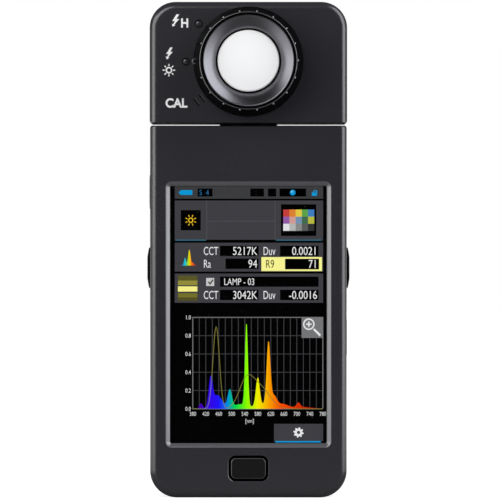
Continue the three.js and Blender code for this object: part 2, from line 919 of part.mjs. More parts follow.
// Select ring and receptor, turned about the ring's axis
const ringTaper = 2.2;
const ringRimWidth = 1.3;
const ringProud = 13;
const ringEdge = 0.35;
const dishSeatWidth = 1.8; // how far the dish stands out over the tube that carries the ring
const dishWidth = 5.2;
const dishRimWidth = 0.3;
const dishDepth = 3.7;
const dishCollar = 1.6;
const diffuserDome = 0.9;
const diffuserSink = 0.4;
const diffuserFlange = 0.7;
const diffuserFlangeThickness = 2;
const ringFrontRadius = ringBaseRadius - ringTaper;
const dishRadius = ringFrontRadius - ringRimWidth;
const tubeRadius = dishRadius - dishSeatWidth;
const diffuserRadius = dishRadius - dishWidth;
const ringFront = frontFace - ringProud;
const ringBack = frontFace - runGap;
const ringBore = tubeRadius + runGap;
const dishFront = ringFront + seatGap;
const dishFloor = dishFront + dishDepth;
const dishBack = dishFloor + dishCollar;
const tubeFront = dishBack + seatGap;
const diffuserBore = diffuserRadius + runGap;
const tubeBore = diffuserRadius + diffuserFlange + seatGap;
const ringCounterbore = dishRadius + runGap;

const ribCount = 18;
const ribWidth = 1.1;
const ribProud = 0.45;
const ribSink = 0.6;
const ribBackGap = 1.2;
const ribEndGap = 0.35;

// Flank of the ring: radius at a place along Y
function flankRadius(y) {
  const share = (y - ringFront) / (ringBack - ringFront);
  return ringFrontRadius + ringEdge + (ringBaseRadius - ringFrontRadius - ringEdge) * share;
}

function ringRib(angle) {
  const front = ringFront + ribEndGap;
  const back = ringBack - ribBackGap;
  const profile = [
    [flankRadius(front) - ribSink, front],
    [flankRadius(front) + ribProud, front],
    [flankRadius(back) + ribProud, back],
    [flankRadius(back) - ribSink, back],
  ];
  const shape = new THREE.Shape(profile.map(([radius, y]) => new THREE.Vector2(radius, y)));
  const rib = new THREE.ExtrudeGeometry(shape, { depth: ribWidth, bevelEnabled: false });
  rib.translate(0, 0, -ribWidth / 2);
  return rib.rotateY(THREE.MathUtils.degToRad(angle)).translate(0, 0, ringHeight);
}

function selectRing() {
  const body = turnedY([
    [ringBore, ringBack],
    [ringBaseRadius, ringBack],
    [flankRadius(ringFront + ringEdge), ringFront + ringEdge],
    [ringFrontRadius, ringFront],
    [ringCounterbore, ringFront],
    [ringCounterbore, tubeFront],
    [ringBore, tubeFront],
    [ringBore, ringBack],
  ], 0, ringHeight, largeSides);
  const ribs = [];
  for (let rib = 0; rib < ribCount; rib += 1) {
    ribs.push(ringRib((fullTurn * rib) / ribCount));
  }
  const pinHoles = pinPlaces().map(([x, z]) => (
    rodY(pinRadius + seatGap, pinFront - seatGap, ringBack + overrun, x, z, smallSides)
  ));
  return cut(join(body, ribs), pinHoles);
}

function receptorCone() {
  return turnedY([
    [dishRadius, dishFront],
    [dishRadius, dishBack],
    [diffuserBore, dishBack],
    [diffuserBore, dishFloor],
    [dishRadius - dishRimWidth, dishFront],
    [dishRadius, dishFront],
  ], 0, ringHeight, largeSides);
}

const diffuserSteps = 5;

function diffuser() {
  const edge = dishFloor - diffuserSink;
  const flangeFront = dishBack + seatGap;
  const flangeBack = flangeFront + diffuserFlangeThickness;
  const profile = [];
  for (let step = 0; step <= diffuserSteps; step += 1) {
    const share = step / diffuserSteps;
    profile.push([diffuserRadius * share, edge - diffuserDome * (1 - share * share)]);
  }
  profile.push([diffuserRadius, flangeFront]);
  profile.push([diffuserRadius + diffuserFlange, flangeFront]);
  profile.push([diffuserRadius + diffuserFlange, flangeBack]);
  profile.push([0, flangeBack]);
  return turnedY(profile, 0, ringHeight, roundSides);
}

// Receptor housing: a tube through the head's front wall with a flange behind it
const tubeFlangeWidth = 1.2;
const tubeFlangeRadius = tubeRadius + tubeFlangeWidth;
const tubeFlange = 1.5;
const tubeFlangeFront = frontInner + seatGap;
const tubeFlangeBack = tubeFlangeFront + tubeFlange;

function receptorHousing() {
  return turnedY([
    [tubeBore, tubeFront],
    [tubeRadius, tubeFront],
    [tubeRadius, tubeFlangeFront],
    [tubeFlangeRadius, tubeFlangeFront],
    [tubeFlangeRadius, tubeFlangeBack],
    [tubeBore, tubeFlangeBack],
    [tubeBore, tubeFront],
  ], 0, ringHeight, roundSides);
}

// Drive pins carry the ring's turn through two arc slots to the shutter disc behind the wall
const pinRadius = 1;
const pinLap = 4; // how far a pin stands into the ring
const shutterRim = 1.4; // from the pins' circle out to the disc's edge
const shutterThickness = 1;
const ringTurn = 38;
const slotSpareTurn = 6;
const slotSteps = 8;
const pinCircle = tubeFlangeRadius + seatGap + pinRadius + seatGap;
const shutterRadius = pinCircle + shutterRim;
const pinFront = ringBack - pinLap;
const shutterFront = tubeFlangeBack + seatGap;
const shutterBack = shutterFront + shutterThickness;

function pinPlaces() {
  return [[0, ringHeight + pinCircle], [0, ringHeight - pinCircle]];
}

function arcSlot(middle) {
  const sweep = ringTurn + slotSpareTurn;
  const start = THREE.MathUtils.degToRad(middle - sweep);
  const end = THREE.MathUtils.degToRad(middle + sweep);
  const half = pinRadius + runGap;
  const outer = [];
  const inner = [];
  for (let step = 0; step <= slotSteps; step += 1) {
    const angle = start + ((end - start) * step) / slotSteps;
    const direction = new THREE.Vector2(Math.cos(angle), Math.sin(angle));
    outer.push(direction.clone().multiplyScalar(pinCircle + half));
    inner.unshift(direction.clone().multiplyScalar(pinCircle - half));
  }
  const shape = new THREE.Shape([...outer, ...inner]);
  const length = wall + 2 * overrun;
  const slot = new THREE.ExtrudeGeometry(shape, { depth: length, bevelEnabled: false });
  return slot.rotateX(Math.PI / 2).translate(0, frontFace - overrun + length, ringHeight);
}

function drivePin(place) {
  const [x, z] = pinPlaces()[place];
  return rodY(pinRadius, pinFront, shutterBack, x, z, smallSides);
}

// Shutter disc: an open and a filtered window on one circle, and a closed place for dark readings
const guideRadius = 2;
const guideMargin = 2.6;
const filterThickness = 0.5;
const filterRadius = 2.8;
const filterSeat = 0.4;
const guideOffset = diffuserRadius - guideMargin;

function discPlace(turn) {
  const angle = THREE.MathUtils.degToRad(turn);
  return [guideOffset * Math.cos(angle), ringHeight + guideOffset * Math.sin(angle)];
}

function shutterDisc() {
  const disc = turnedY([
    [0, shutterFront],
    [shutterRadius, shutterFront],
    [shutterRadius, shutterBack],
    [0, shutterBack],
  ], 0, ringHeight, roundSides);
  const [openX, openZ] = discPlace(0);
  const [filterX, filterZ] = discPlace(ringTurn);
  const [front, back] = [shutterFront - overrun, shutterBack + overrun];
  const holes = pinPlaces().map(([x, z]) => rodY(pinRadius + seatGap, front, back, x, z, smallSides));
  holes.push(rodY(guideRadius + seatGap, front, back, openX, openZ, smallSides));
  holes.push(rodY(guideRadius, front, back, filterX, filterZ, smallSides));
  const seat = shutterFront + filterSeat;
  holes.push(rodY(filterRadius + seatGap, front, seat, filterX, filterZ, smallSides));
  return cut(disc, holes);
}

function greyFilter() {
  const [x, z] = discPlace(ringTurn);
  const back = shutterFront + filterSeat - seatGap;
  return rodY(filterRadius, back - filterThickness, back, x, z, smallSides);
}

// Optical bench: an open tray with a cover, standing behind the shutter
const benchLeftRoom = 8.5;
const benchRightRoom = 0.5;
const benchTopDrop = 5;
const benchWall = 1.2;
const benchCoverThickness = 1;
const headBoardThickness = 1.2;
const headScrewInset = 5.5;
const headBoardRoom = 1.4;
const headBoardLowGap = 8;
const headBoardHighDrop = 4.5;
const guideLength = 7.2;
const headBoardHalf = headWidth / 2 - headScrewInset - bossRadius - headBoardRoom;
const benchLeft = headBoardHalf - benchLeftRoom;
const benchRight = headBoardHalf - benchRightRoom;
const benchHigh = totalHeight - benchTopDrop;
const headBoardBack = backInner - seatGap;
const headBoardFront = headBoardBack - headBoardThickness;
const benchCoverBack = headBoardFront - seatGap;
const benchCoverFront = benchCoverBack - benchCoverThickness;
const benchBack = benchCoverFront - seatGap;
const guideFront = shutterBack + seatGap;
const guideBack = guideFront + guideLength;
const slitFront = guideBack + seatGap;
const benchFloor = guideBack;
const benchFront = benchFloor - benchWall;

function opticalBench() {
  const tray = block(-benchLeft, benchRight, benchFront, benchBack, benchLow, benchHigh);
  const [x, z] = discPlace(0);
  return cut(tray, [
    block(
      benchWall - benchLeft, benchRight - benchWall, benchFloor, benchBack + overrun,
      benchLow + benchWall, benchHigh - benchWall,
    ),
    rodY(guideRadius + seatGap, benchFront - overrun, benchFloor + overrun, x, z, smallSides),
  ]);
}

function benchCover() {
  return block(-benchLeft, benchRight, benchCoverFront, benchCoverBack, benchLow, benchHigh);
}

function lightGuide() {
  const [x, z] = discPlace(0);
  return rodY(guideRadius, guideFront, guideBack, x, z, smallSides);
}

const slitHalf = 4.5;
const slitThickness = 0.4;
const slitWidth = 0.3;
const slitLength = 3;

function entranceSlit() {
  const [x, z] = discPlace(0);
  const [front, back] = [slitFront, slitFront + slitThickness];
  const plate = block(x - slitHalf, x + slitHalf, front, back, z - slitHalf, z + slitHalf);
  const halfWidth = slitWidth / 2;
  const halfLength = slitLength / 2;
  return cut(plate, [
    block(x - halfWidth, x + halfWidth, front - overrun, back + overrun, z - halfLength, z + halfLength),
  ]);
}

const mirrorHalf = 3.5;
const mirrorEndRoom = 8.05;
const benchInnerHeight = benchHigh - benchLow - 2 * benchWall;
const mirrorHeight = benchInnerHeight - 2 * mirrorEndRoom;

function foldMirror() {
  const [x, z] = discPlace(0);
  const back = benchBack;
  const front = slitFront + slitThickness + seatGap;
  const size = Math.min(2 * mirrorHalf, back - front);
  const shape = new THREE.Shape([
    new THREE.Vector2(x - mirrorHalf, back),
    new THREE.Vector2(x - mirrorHalf + size, back),
    new THREE.Vector2(x - mirrorHalf + size, back - size),
  ]);
  const prism = new THREE.ExtrudeGeometry(shape, { depth: mirrorHeight, bevelEnabled: false });
  return prism.translate(0, 0, z - mirrorHeight / 2);
}

const gratingThickness = 2.5;
const gratingEndRoom = 6.05;
const sensorThickness = 2.3;
const sensorEndRoom = 2.05;
const gratingHeight = benchInnerHeight - 2 * gratingEndRoom;
const sensorLength = benchInnerHeight - 2 * sensorEndRoom;

function diffractionGrating() {
  const left = benchWall - benchLeft + seatGap;
  const low = ringHeight - gratingHeight / 2;
  return block(
    left, left + gratingThickness, benchFloor + seatGap, benchBack - seatGap, low, low + gratingHeight,
  );
}

function lineSensor() {
  const right = benchRight - benchWall - seatGap;
  const low = (benchLow + benchHigh - sensorLength) / 2;
  return block(
    right - sensorThickness, right, benchFloor + seatGap, benchBack - seatGap, low, low + sensorLength,
  );
}

const headScrewLow = 6.9;
const headScrewDrop = 9;
const headBossX = headInnerHalf + bossSink - bossRadius;
const headScrewPlaces = [
  [-headBossX, headLow + headScrewLow],
  [headBossX, headLow + headScrewLow],
  [headScrewInset - headWidth / 2, totalHeight - headScrewDrop],
  [headWidth / 2 - headScrewInset, totalHeight - headScrewDrop],
];

function headBoard() {
  return block(
    -headBoardHalf, headBoardHalf, headBoardFront, headBoardBack,
    headLow + headBoardLowGap, totalHeight - headBoardHighDrop,
  );
}

// Covers with their bosses and openings
function frontCover() {
  const bosses = bodyScrewPlaces.map(([x, z]) => frontBoss(x, z));
  const bores = bodyScrewPlaces.map(([x, z]) => screwBore(x, z));
  const neck = neckHole(bodyHeight - wall - overrun, bodyHeight + overrun);
  return cut(join(frontHalf(bodyOutline), bosses), [...bores, windowCut(), powerHole(), neck]);
}

function rearCover() {
  const additions = bodyScrewPlaces.map(([x, z]) => rearBoss(x, z));
  additions.push(tripodBoss(), strapPocketHousing());
  const cutters = bodyScrewPlaces.map(([x, z]) => screwBore(x, z));
  cutters.push(neckHole(bodyHeight - wall - overrun, bodyHeight + overrun));
  cutters.push(lidOpening(), tripodPocket(), strapPocket(), portHole());
  cutters.push(sideHole(measureButton, -1), sideHole(measureButton, 1), sideHole(memoryKey, -1));
  return cut(join(rearHalf(bodyOutline), additions), cutters);
}

function headFrontShell() {
  const bosses = headScrewPlaces.map(([x, z]) => frontBoss(x, z));
  const cutters = headScrewPlaces.map(([x, z]) => screwBore(x, z));
  cutters.push(neckHole(headLow - overrun, headLow + wall + overrun));
  const [front, back] = [frontFace - overrun, frontInner + overrun];
  cutters.push(rodY(tubeRadius + seatGap, front, back, 0, ringHeight, roundSides));
  cutters.push(arcSlot(quarterTurn), arcSlot(-quarterTurn));
  return cut(join(frontHalf(headOutline), bosses), cutters);
}

function headRearShell() {
  const bosses = headScrewPlaces.map(([x, z]) => rearBoss(x, z));
  const cutters = headScrewPlaces.map(([x, z]) => screwBore(x, z));
  cutters.push(neckHole(headLow - overrun, headLow + wall + overrun));
  return cut(join(rearHalf(headOutline), bosses), cutters);
}

// Body
add('front_cover', frontCover(), 'shell');
add('rear_cover', rearCover(), 'shell');
add('touch_glass', touchGlass(), 'glass');
add('lcd_module', lcdModule(), 'screen');
add('display_chassis', displayChassis(), 'aluminium');
add('main_board', mainBoard(), 'board');
add('power_key', powerKeyGeometry(), 'blackPlastic');
add('power_switch', powerSwitch(), 'darkPlastic');
add('left_measure_button', sideKeyGeometry(measureButton, -1), 'blackPlastic');
add('right_measure_button', sideKeyGeometry(measureButton, 1), 'blackPlastic');
add('memory_key', sideKeyGeometry(memoryKey, -1), 'blackPlastic');
add('left_measure_switch', sideSwitch(measureButton, -1), 'darkPlastic');
add('right_measure_switch', sideSwitch(measureButton, 1), 'darkPlastic');
add('memory_switch', sideSwitch(memoryKey, -1), 'darkPlastic');
add('battery_holder', batteryHolder(), 'darkPlastic');
add('battery_cell_lower', batteryCell(lowCellHeight, 1), 'cell');
add('battery_cell_upper', batteryCell(highCellHeight, -1), 'cell');
const [low, high] = [lowCellHeight, highCellHeight];
add('battery_contact_bridge', batteryContact(1, low, high, [high]), 'steel');
add('battery_contact_negative', batteryContact(-1, low, low, [low]), 'steel');
add('battery_contact_positive', batteryContact(-1, high, high, []), 'steel');
add('battery_lid', batteryLid(), 'shell');
add('tripod_insert', tripodInsert(), 'brass');
add('strap_pin', strapPin(), 'steel');
add('usb_connector', usbConnector(), 'steel');
add('port_cover', portCover(), 'rubber');
add('board_cable_header', boardCableHeader(), 'darkPlastic');
add('neck_cable', neckCable(), 'rubber');
bodyScrewPlaces.forEach(([x, z], place) => add(`case_screw_${place + 1}`, screw(x, z), 'steel'));

// Head
add('neck_tube', neckTube(), 'blackPlastic');
add('neck_washer', neckWasher(), 'steel');
add('head_front_shell', headFrontShell(), 'shell');
add('head_rear_shell', headRearShell(), 'shell');
add('receptor_housing', receptorHousing(), 'darkPlastic');
add('receptor_cone', receptorCone(), 'dish');
add('diffuser', diffuser(), 'diffuser');
add('light_guide', lightGuide(), 'glass');
add('optical_bench', opticalBench(), 'aluminium');
add('bench_cover', benchCover(), 'aluminium');
add('entrance_slit', entranceSlit(), 'steel');
add('fold_mirror', foldMirror(), 'optic');
add('diffraction_grating', diffractionGrating(), 'optic');
add('line_sensor', lineSensor(), 'darkPlastic');
add('head_board', headBoard(), 'board');
add('head_cable_socket', headCableSocket(), 'darkPlastic');
headScrewPlaces.forEach(([x, z], place) => add(`head_screw_${place + 1}`, screw(x, z), 'steel'));

// Select ring and what turns with it
add('select_ring', selectRing(), 'blackPlastic');
add('ring_drive_pin_upper', drivePin(0), 'steel');
add('ring_drive_pin_lower', drivePin(1), 'steel');
add('shutter_disc', shutterDisc(), 'aluminium');
add('grey_filter', greyFilter(), 'glass');

export default meter;
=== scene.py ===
import math
from collections import namedtuple

import bmesh
import bpy
from mathutils import Color, Matrix, Vector


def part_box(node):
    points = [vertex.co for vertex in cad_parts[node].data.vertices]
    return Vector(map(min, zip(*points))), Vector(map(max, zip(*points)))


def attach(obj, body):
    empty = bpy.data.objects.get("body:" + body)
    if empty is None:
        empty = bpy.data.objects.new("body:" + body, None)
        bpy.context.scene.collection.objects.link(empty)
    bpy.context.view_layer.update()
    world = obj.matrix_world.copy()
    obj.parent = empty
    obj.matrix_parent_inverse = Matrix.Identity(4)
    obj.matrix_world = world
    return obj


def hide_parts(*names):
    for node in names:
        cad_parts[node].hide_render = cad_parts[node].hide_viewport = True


# Handheld spectrometer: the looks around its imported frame.
# Dictionaries hold millimetres and degrees, and pieces are built in millimetres. finished()
# turns a finished mesh into metres. +X is right, -Y is the front and +Z is up.
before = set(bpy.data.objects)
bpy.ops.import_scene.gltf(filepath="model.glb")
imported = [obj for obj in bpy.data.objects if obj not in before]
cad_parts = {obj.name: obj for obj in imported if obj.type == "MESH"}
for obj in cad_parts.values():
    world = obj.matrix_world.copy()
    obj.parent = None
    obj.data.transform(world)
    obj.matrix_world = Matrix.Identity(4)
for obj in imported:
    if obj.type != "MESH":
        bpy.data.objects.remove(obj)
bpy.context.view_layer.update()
print("frame loaded")

mm = 0.001
scene = bpy.context.scene
scene.view_settings.view_transform = "Standard"

extent = namedtuple("extent", "left right front back low high")


def extentOf(node):
    low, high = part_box(node)
    return extent(low.x / mm, high.x / mm, low.y / mm, high.y / mm, low.z / mm, high.z / mm)


def middleOf(node):
    box = extentOf(node)
    return (box.left + box.right) / 2, (box.front + box.back) / 2, (box.low + box.high) / 2


frontBox = extentOf("front_cover")
rearBox = extentOf("rear_cover")
headFrontBox = extentOf("head_front_shell")
headRearBox = extentOf("head_rear_shell")
glassBox = extentOf("touch_glass")
lcdBox = extentOf("lcd_module")
dishBox = extentOf("receptor_cone")
ringBox = extentOf("select_ring")
lidBox = extentOf("battery_lid")
tripodBox = extentOf("tripod_insert")
strapBox = extentOf("strap_pin")
portBox = extentOf("port_cover")
usbBox = extentOf("usb_connector")
powerBox = extentOf("power_key")
ringHeight = (dishBox.low + dishBox.high) / 2

# Camera and lamps, in metres
cameraValues = {"place": (0.00059, -2.0135, 0.09138), "lens": 390.5, "sensor": 36, "clipEnd": 100}
lampValues = {
    "left_softbox": {
        "azimuth": -57, "elevation": 2, "distance": 0.9, "width": 0.75, "height": 1.2,
        "power": 7.6, "colour": (1, 1, 1),
    },
    "right_softbox": {
        "azimuth": 68, "elevation": 18, "distance": 0.9, "width": 0.72, "height": 1.65,
        "power": 11.4, "colour": (0.95, 0.975, 1),
    },
    "upper_left_softbox": {
        "azimuth": -25, "elevation": 32, "distance": 0.65, "width": 0.3, "height": 0.3,
        "power": 0.85, "colour": (1, 1, 1),
    },
}


def linked(name, data):
    piece = bpy.data.objects.new(name, data)
    scene.collection.objects.link(piece)
    return piece


def setCamera():
    data = bpy.data.cameras.new("camera")
    data.lens = cameraValues["lens"]
    data.sensor_width = cameraValues["sensor"]
    data.clip_end = cameraValues["clipEnd"]
    camera = linked("camera", data)
    camera.location = cameraValues["place"]
    camera.rotation_euler = (math.pi / 2, 0, 0)
    scene.camera = camera


def softbox(name, values):
    data = bpy.data.lights.new(name, "AREA")
    data.shape = "RECTANGLE"
    data.size = values["width"]
    data.size_y = values["height"]
    data.energy = values["power"]
    data.color = values["colour"]
    lamp = linked(name, data)
    target = Vector((0, 0, (headFrontBox.high + frontBox.low) / 2 * mm))
    turn, rise = math.radians(values["azimuth"]), math.radians(values["elevation"])
    level = math.cos(rise)
    away = Vector((math.sin(turn) * level, -math.cos(turn) * level, math.sin(rise)))
    lamp.location = target + away * values["distance"]
    lamp.rotation_euler = away.to_track_quat("Z", "Y").to_euler()


# Node helpers


def put(tree, kind, values=(), **settings):
    node = tree.nodes.new(kind)
    for key, value in settings.items():
        setattr(node, key, value)
    for key, value in dict(values).items():
        if isinstance(value, bpy.types.NodeSocket):
            tree.links.new(value, node.inputs[key])
        else:
            node.inputs[key].default_value = value
    return node


def sums(tree, operation, *values, clamp=False):
    node = put(tree, "ShaderNodeMath", list(enumerate(values)), operation=operation, use_clamp=clamp)
    return node.outputs[0]


def mapped(tree, value, start, end, low=0, high=1):
    values = {"Value": value, "From Min": start, "From Max": end, "To Min": low, "To Max": high}
    return put(tree, "ShaderNodeMapRange", values).outputs[0]


def noise(tree, place, scale, detail):
    values = {"Vector": place, "Scale": scale, "Detail": detail}
    return put(tree, "ShaderNodeTexNoise", values).outputs["Fac"]


def objectPlace(tree):
    return put(tree, "ShaderNodeTexCoord").outputs["Object"]


def axes(tree, vector):
    return put(tree, "ShaderNodeSeparateXYZ", {0: vector}).outputs


def scaled(tree, vector, factor):
    return put(tree, "ShaderNodeVectorMath", {0: vector, "Scale": factor}, operation="SCALE").outputs[0]


def mixed(tree, share, first, second):
    return put(tree, "ShaderNodeMix", {0: share, 6: first, 7: second}, data_type="RGBA").outputs[2]


def wire(tree, inputs, sockets):
    for key, socket in sockets.items():
        tree.links.new(socket, inputs[key])


def linear(red, green, blue):
    full = 255
    return (*Color((red / full, green / full, blue / full)).from_srgb_to_scene_linear(), 1)


def startGroup(name, inputs, outputs, kind="ShaderNodeTree"):
    group = bpy.data.node_groups.new(name, kind)
    for socketName, socketType, value in inputs:
        socket = group.interface.new_socket(socketName, in_out="INPUT", socket_type=socketType)
        if value is not None:
            socket.default_value = value
    for socketName, socketType in outputs:
        group.interface.new_socket(socketName, in_out="OUTPUT", socket_type=socketType)
    start = group.nodes.new("NodeGroupInput")
    end = group.nodes.new("NodeGroupOutput")
    return group, start.outputs, end.inputs


# Effects that several materials share
floatSocket, colourSocket = "NodeSocketFloat", "NodeSocketColor"
patterns = {
    "clouds": 28.0, "cloudDetail": 4.0, "detail": 3.0, "fineDetail": 1.0, "lineDetail": 2.0,
    "stains": 120.0, "stainDepth": 0.3, "stainDark": 0.85,
}


def mouldedGrainGroup():
    group, given, result = startGroup(
        "moulded grain",
        [
            ("Colour", colourSocket, (0.03, 0.03, 0.03, 1)),
            ("Shade", floatSocket, 0.1),
            ("Grain Scale", floatSocket, 2600.0),
            ("Roughness", floatSocket, 0.5),
            ("Spread", floatSocket, 0.08),
        ],
        [("Colour", colourSocket), ("Roughness", floatSocket), ("Height", floatSocket)],
    )
    place = objectPlace(group)
    grain = noise(group, place, given["Grain Scale"], patterns["detail"])
    clouds = noise(group, place, patterns["clouds"], patterns["cloudDetail"])
    specks = put(group, "ShaderNodeTexVoronoi", {"Vector": place, "Scale": given["Grain Scale"]})
    even = sums(group, "SUBTRACT", clouds, 0.5)
    fine = sums(group, "SUBTRACT", grain, 0.5)
    both = sums(group, "ADD", even, fine)
    light = sums(group, "MULTIPLY_ADD", both, given["Shade"], 1.0)
    wire(group, result, {
        "Colour": scaled(group, given["Colour"], light),
        "Roughness": sums(group, "MULTIPLY_ADD", both, given["Spread"], given["Roughness"], clamp=True),
        "Height": sums(group, "ADD", grain, specks.outputs["Distance"]),
    })
    return group


def turnedLinesGroup():
    group, given, result = startGroup(
        "turned lines",
        [
            ("Axis Height", floatSocket, ringHeight * mm),
            ("Lines", floatSocket, 3000.0),
            ("Roughness", floatSocket, 0.3),
            ("Spread", floatSocket, 0.15),
        ],
        [("Height", floatSocket), ("Roughness", floatSocket)],
    )
    parts = axes(group, objectPlace(group))
    rise = sums(group, "SUBTRACT", parts["Z"], given["Axis Height"])
    squares = [sums(group, "POWER", side, 2.0) for side in (parts["X"], rise)]
    radius = sums(group, "SQRT", sums(group, "ADD", *squares))
    lines = sums(group, "MULTIPLY", radius, given["Lines"])
    values = {"W": lines, "Scale": 1.0, "Detail": patterns["lineDetail"]}
    grooves = put(group, "ShaderNodeTexNoise", values, noise_dimensions="1D").outputs["Fac"]
    wire(group, result, {
        "Height": grooves,
        "Roughness": sums(group, "MULTIPLY_ADD", grooves, given["Spread"], given["Roughness"]),
    })
    return group


def brushedGroup():
    group, given, result = startGroup(
        "brushed metal",
        [
            ("Colour", colourSocket, (0.5, 0.5, 0.5, 1)),
            ("Stretch", "NodeSocketVector", (200.0, 4000.0, 4000.0)),
            ("Roughness", floatSocket, 0.3),
            ("Spread", floatSocket, 0.2),
        ],
        [("Colour", colourSocket), ("Roughness", floatSocket), ("Height", floatSocket)],
    )
    place = objectPlace(group)
    values = {0: place, 1: given["Stretch"]}
    stretched = put(group, "ShaderNodeVectorMath", values, operation="MULTIPLY").outputs[0]
    strokes = noise(group, stretched, 1.0, patterns["detail"])
    stains = noise(group, place, patterns["stains"], patterns["detail"])
    light = sums(group, "MULTIPLY_ADD", stains, patterns["stainDepth"], patterns["stainDark"])
    wire(group, result, {
        "Colour": scaled(group, given["Colour"], light),
        "Roughness": sums(group, "MULTIPLY_ADD", strokes, given["Spread"], given["Roughness"]),
        "Height": strokes,
    })
    return group


mouldedGrain = mouldedGrainGroup()
turnedLines = turnedLinesGroup()
brushedMetal = brushedGroup()


def startMaterial(name, values):
    material = bpy.data.materials.new(name)
    material.use_nodes = True
    tree = material.node_tree
    shader = tree.nodes["Principled BSDF"]
    for key, value in values.items():
        shader.inputs[key].default_value = value
    return material, tree, shader


def bumped(tree, shader, height, strength, depth):
    values = {"Height": height, "Strength": strength, "Distance": depth * mm}
    wire(tree, shader.inputs, {"Normal": put(tree, "ShaderNodeBump", values).outputs["Normal"]})


def textured(material, tree, shader, group, look, values):
    effect = put(tree, "ShaderNodeGroup", {
        "Colour": linear(*look["colour"]), "Roughness": look["roughness"], "Spread": look["spread"],
        **values,
    }, node_tree=group).outputs
    wire(tree, shader.inputs, {"Base Color": effect["Colour"], "Roughness": effect["Roughness"]})
    bumped(tree, shader, effect["Height"], look["bump"], look["depth"])
    return material


def plastic(name, row):
    look = dict(zip(plasticKeys, row))
    values = {"Shade": look["shade"], "Grain Scale": look["grain"]}
    return textured(*startMaterial(name, {"IOR": look["ior"]}), mouldedGrain, look, values)


def metal(name, row):
    look = dict(zip(metalKeys, row))
    values = {"Stretch": look["stretch"]}
    return textured(*startMaterial(name, {"Metallic": 1.0}), brushedMetal, look, values)


plasticKeys = ("colour", "shade", "grain", "roughness", "spread", "bump", "depth", "ior")
plastics = {
    "shell": ((43, 42, 47), 0.16, 2600.0, 0.25, 0.08, 0.12, 0.04, 1.75),
    # A lighter grey for painted highlights on the window's sloping bevel and on strips beside the index bars
    "bezel": ((80, 79, 84), 0.05, 3200.0, 0.28, 0.03, 0.02, 0.02, 2.1),
    "black_plastic": ((17, 17, 18), 0.12, 3200.0, 0.36, 0.08, 0.12, 0.04, 1.4),
    # A pale grey for painted highlights along edges: the ring's front edge, the pointer, the power key's
    # edge and its recess's chamfer
    "painted_edge_highlight": ((70, 70, 74), 0.06, 3000.0, 0.3, 0.04, 0.03, 0.02, 2.3),
    # Bright grey of the small bumps at the rib ends, painted glints standing in for highlights there
    "nub": ((190, 190, 192), 0.06, 3000.0, 0.35, 0.04, 0.03, 0.02, 1.5),
    # Near-black for painted shade in the grooves of the index marks
    "mark": ((8, 8, 9), 0.1, 3000.0, 0.5, 0.06, 0.05, 0.02, 1.25),
    # The deepest black: the ring's own colour, and also painted shade on the neck in the gap and on the
    # power key's sides and flange in its groove
    "deep_black_and_shade": ((5, 5, 6), 0.12, 3000.0, 0.42, 0.1, 0.12, 0.03, 1.1),
    "dark_plastic": ((30, 30, 32), 0.2, 1800.0, 0.6, 0.1, 0.3, 0.06, 1.45),
    "rubber": ((27, 27, 29), 0.2, 2200.0, 0.82, 0.1, 0.5, 0.06, 1.4),
    "diffuser": ((246, 246, 246), 0.02, 5000.0, 0.62, 0.05, 0.08, 0.02, 1.4),
    "print": ((240, 240, 240), 0.05, 4000.0, 0.6, 0.1, 0.1, 0.02, 1.4),
    "cable": ((24, 24, 26), 0.2, 1500.0, 0.7, 0.1, 0.3, 0.06, 1.4),
}
metalKeys = ("colour", "stretch", "roughness", "spread", "bump", "depth")
metals = {
    "steel": ((172, 173, 175), (300.0, 2500.0, 2500.0), 0.22, 0.2, 0.1, 0.02),
    "brass": ((196, 163, 90), (2500.0, 200.0, 2500.0), 0.25, 0.2, 0.15, 0.03),
    "aluminium": ((141, 143, 146), (1800.0, 1800.0, 1800.0), 0.4, 0.2, 0.3, 0.03),
    "mirror": ((216, 221, 226), (900.0, 900.0, 900.0), 0.03, 0.05, 0.02, 0.01),
}
dishLook = {
    "colour": (118, 117, 122), "shade": 0.08, "grain": 900.0, "roughness": 0.26, "spread": 0.06,
    "lines": 5200.0, "bump": 0.02, "depth": 0.02, "anisotropy": 0.75,
}
glassLook = {"tint": (0.92, 0.93, 0.94, 1), "smearScale": 25.0, "smear": 0.008, "ior": 1.0}
litLook = {
    "base": (0.001, 0.001, 0.001, 1), "roughness": 0.06, "ior": 1.25, "strength": 1.0,
    "grain": 2200.0, "spread": 0.08, "least": 0.96,
}
panelLook = {"even": (5, 5, 6), "odd": (8, 8, 9), "cells": 9000.0, "roughness": 0.35, "ior": 1.2}
boardLook = {
    "resist": (18, 86, 50), "resistPale": (22, 92, 54), "track": (40, 122, 74), "trackScale": 300.0,
    "trackWidth": 0.06, "pad": (196, 170, 100), "padScale": 420.0, "padSize": 0.16,
    "roughness": 0.45, "padShine": -0.15, "ior": 1.5,
}
wrapLook = {
    "body": (54, 84, 122), "band": (196, 198, 200), "bandStart": 16.0, "bandEnd": 23.5,
    "shade": 0.1, "grain": 700.0, "roughness": 0.3, "ior": 1.5,
}


def dishMetal():
    look = dishLook
    material, tree, shader = startMaterial("dish", {"Metallic": 1.0, "Anisotropic": look["anisotropy"]})
    lines = put(tree, "ShaderNodeGroup", {
        "Axis Height": ringHeight * mm, "Lines": look["lines"],
        "Roughness": look["roughness"], "Spread": look["spread"],
    }, node_tree=turnedLines).outputs
    colour = put(tree, "ShaderNodeGroup", {
        "Colour": linear(*look["colour"]), "Shade": look["shade"], "Grain Scale": look["grain"],
    }, node_tree=mouldedGrain).outputs["Colour"]
    around = put(tree, "ShaderNodeTangent", direction_type="UV_MAP", uv_map="turned").outputs["Tangent"]
    bumped(tree, shader, lines["Height"], look["bump"], look["depth"])
    wire(tree, shader.inputs, {"Base Color": colour, "Roughness": lines["Roughness"], "Tangent": around})
    return material


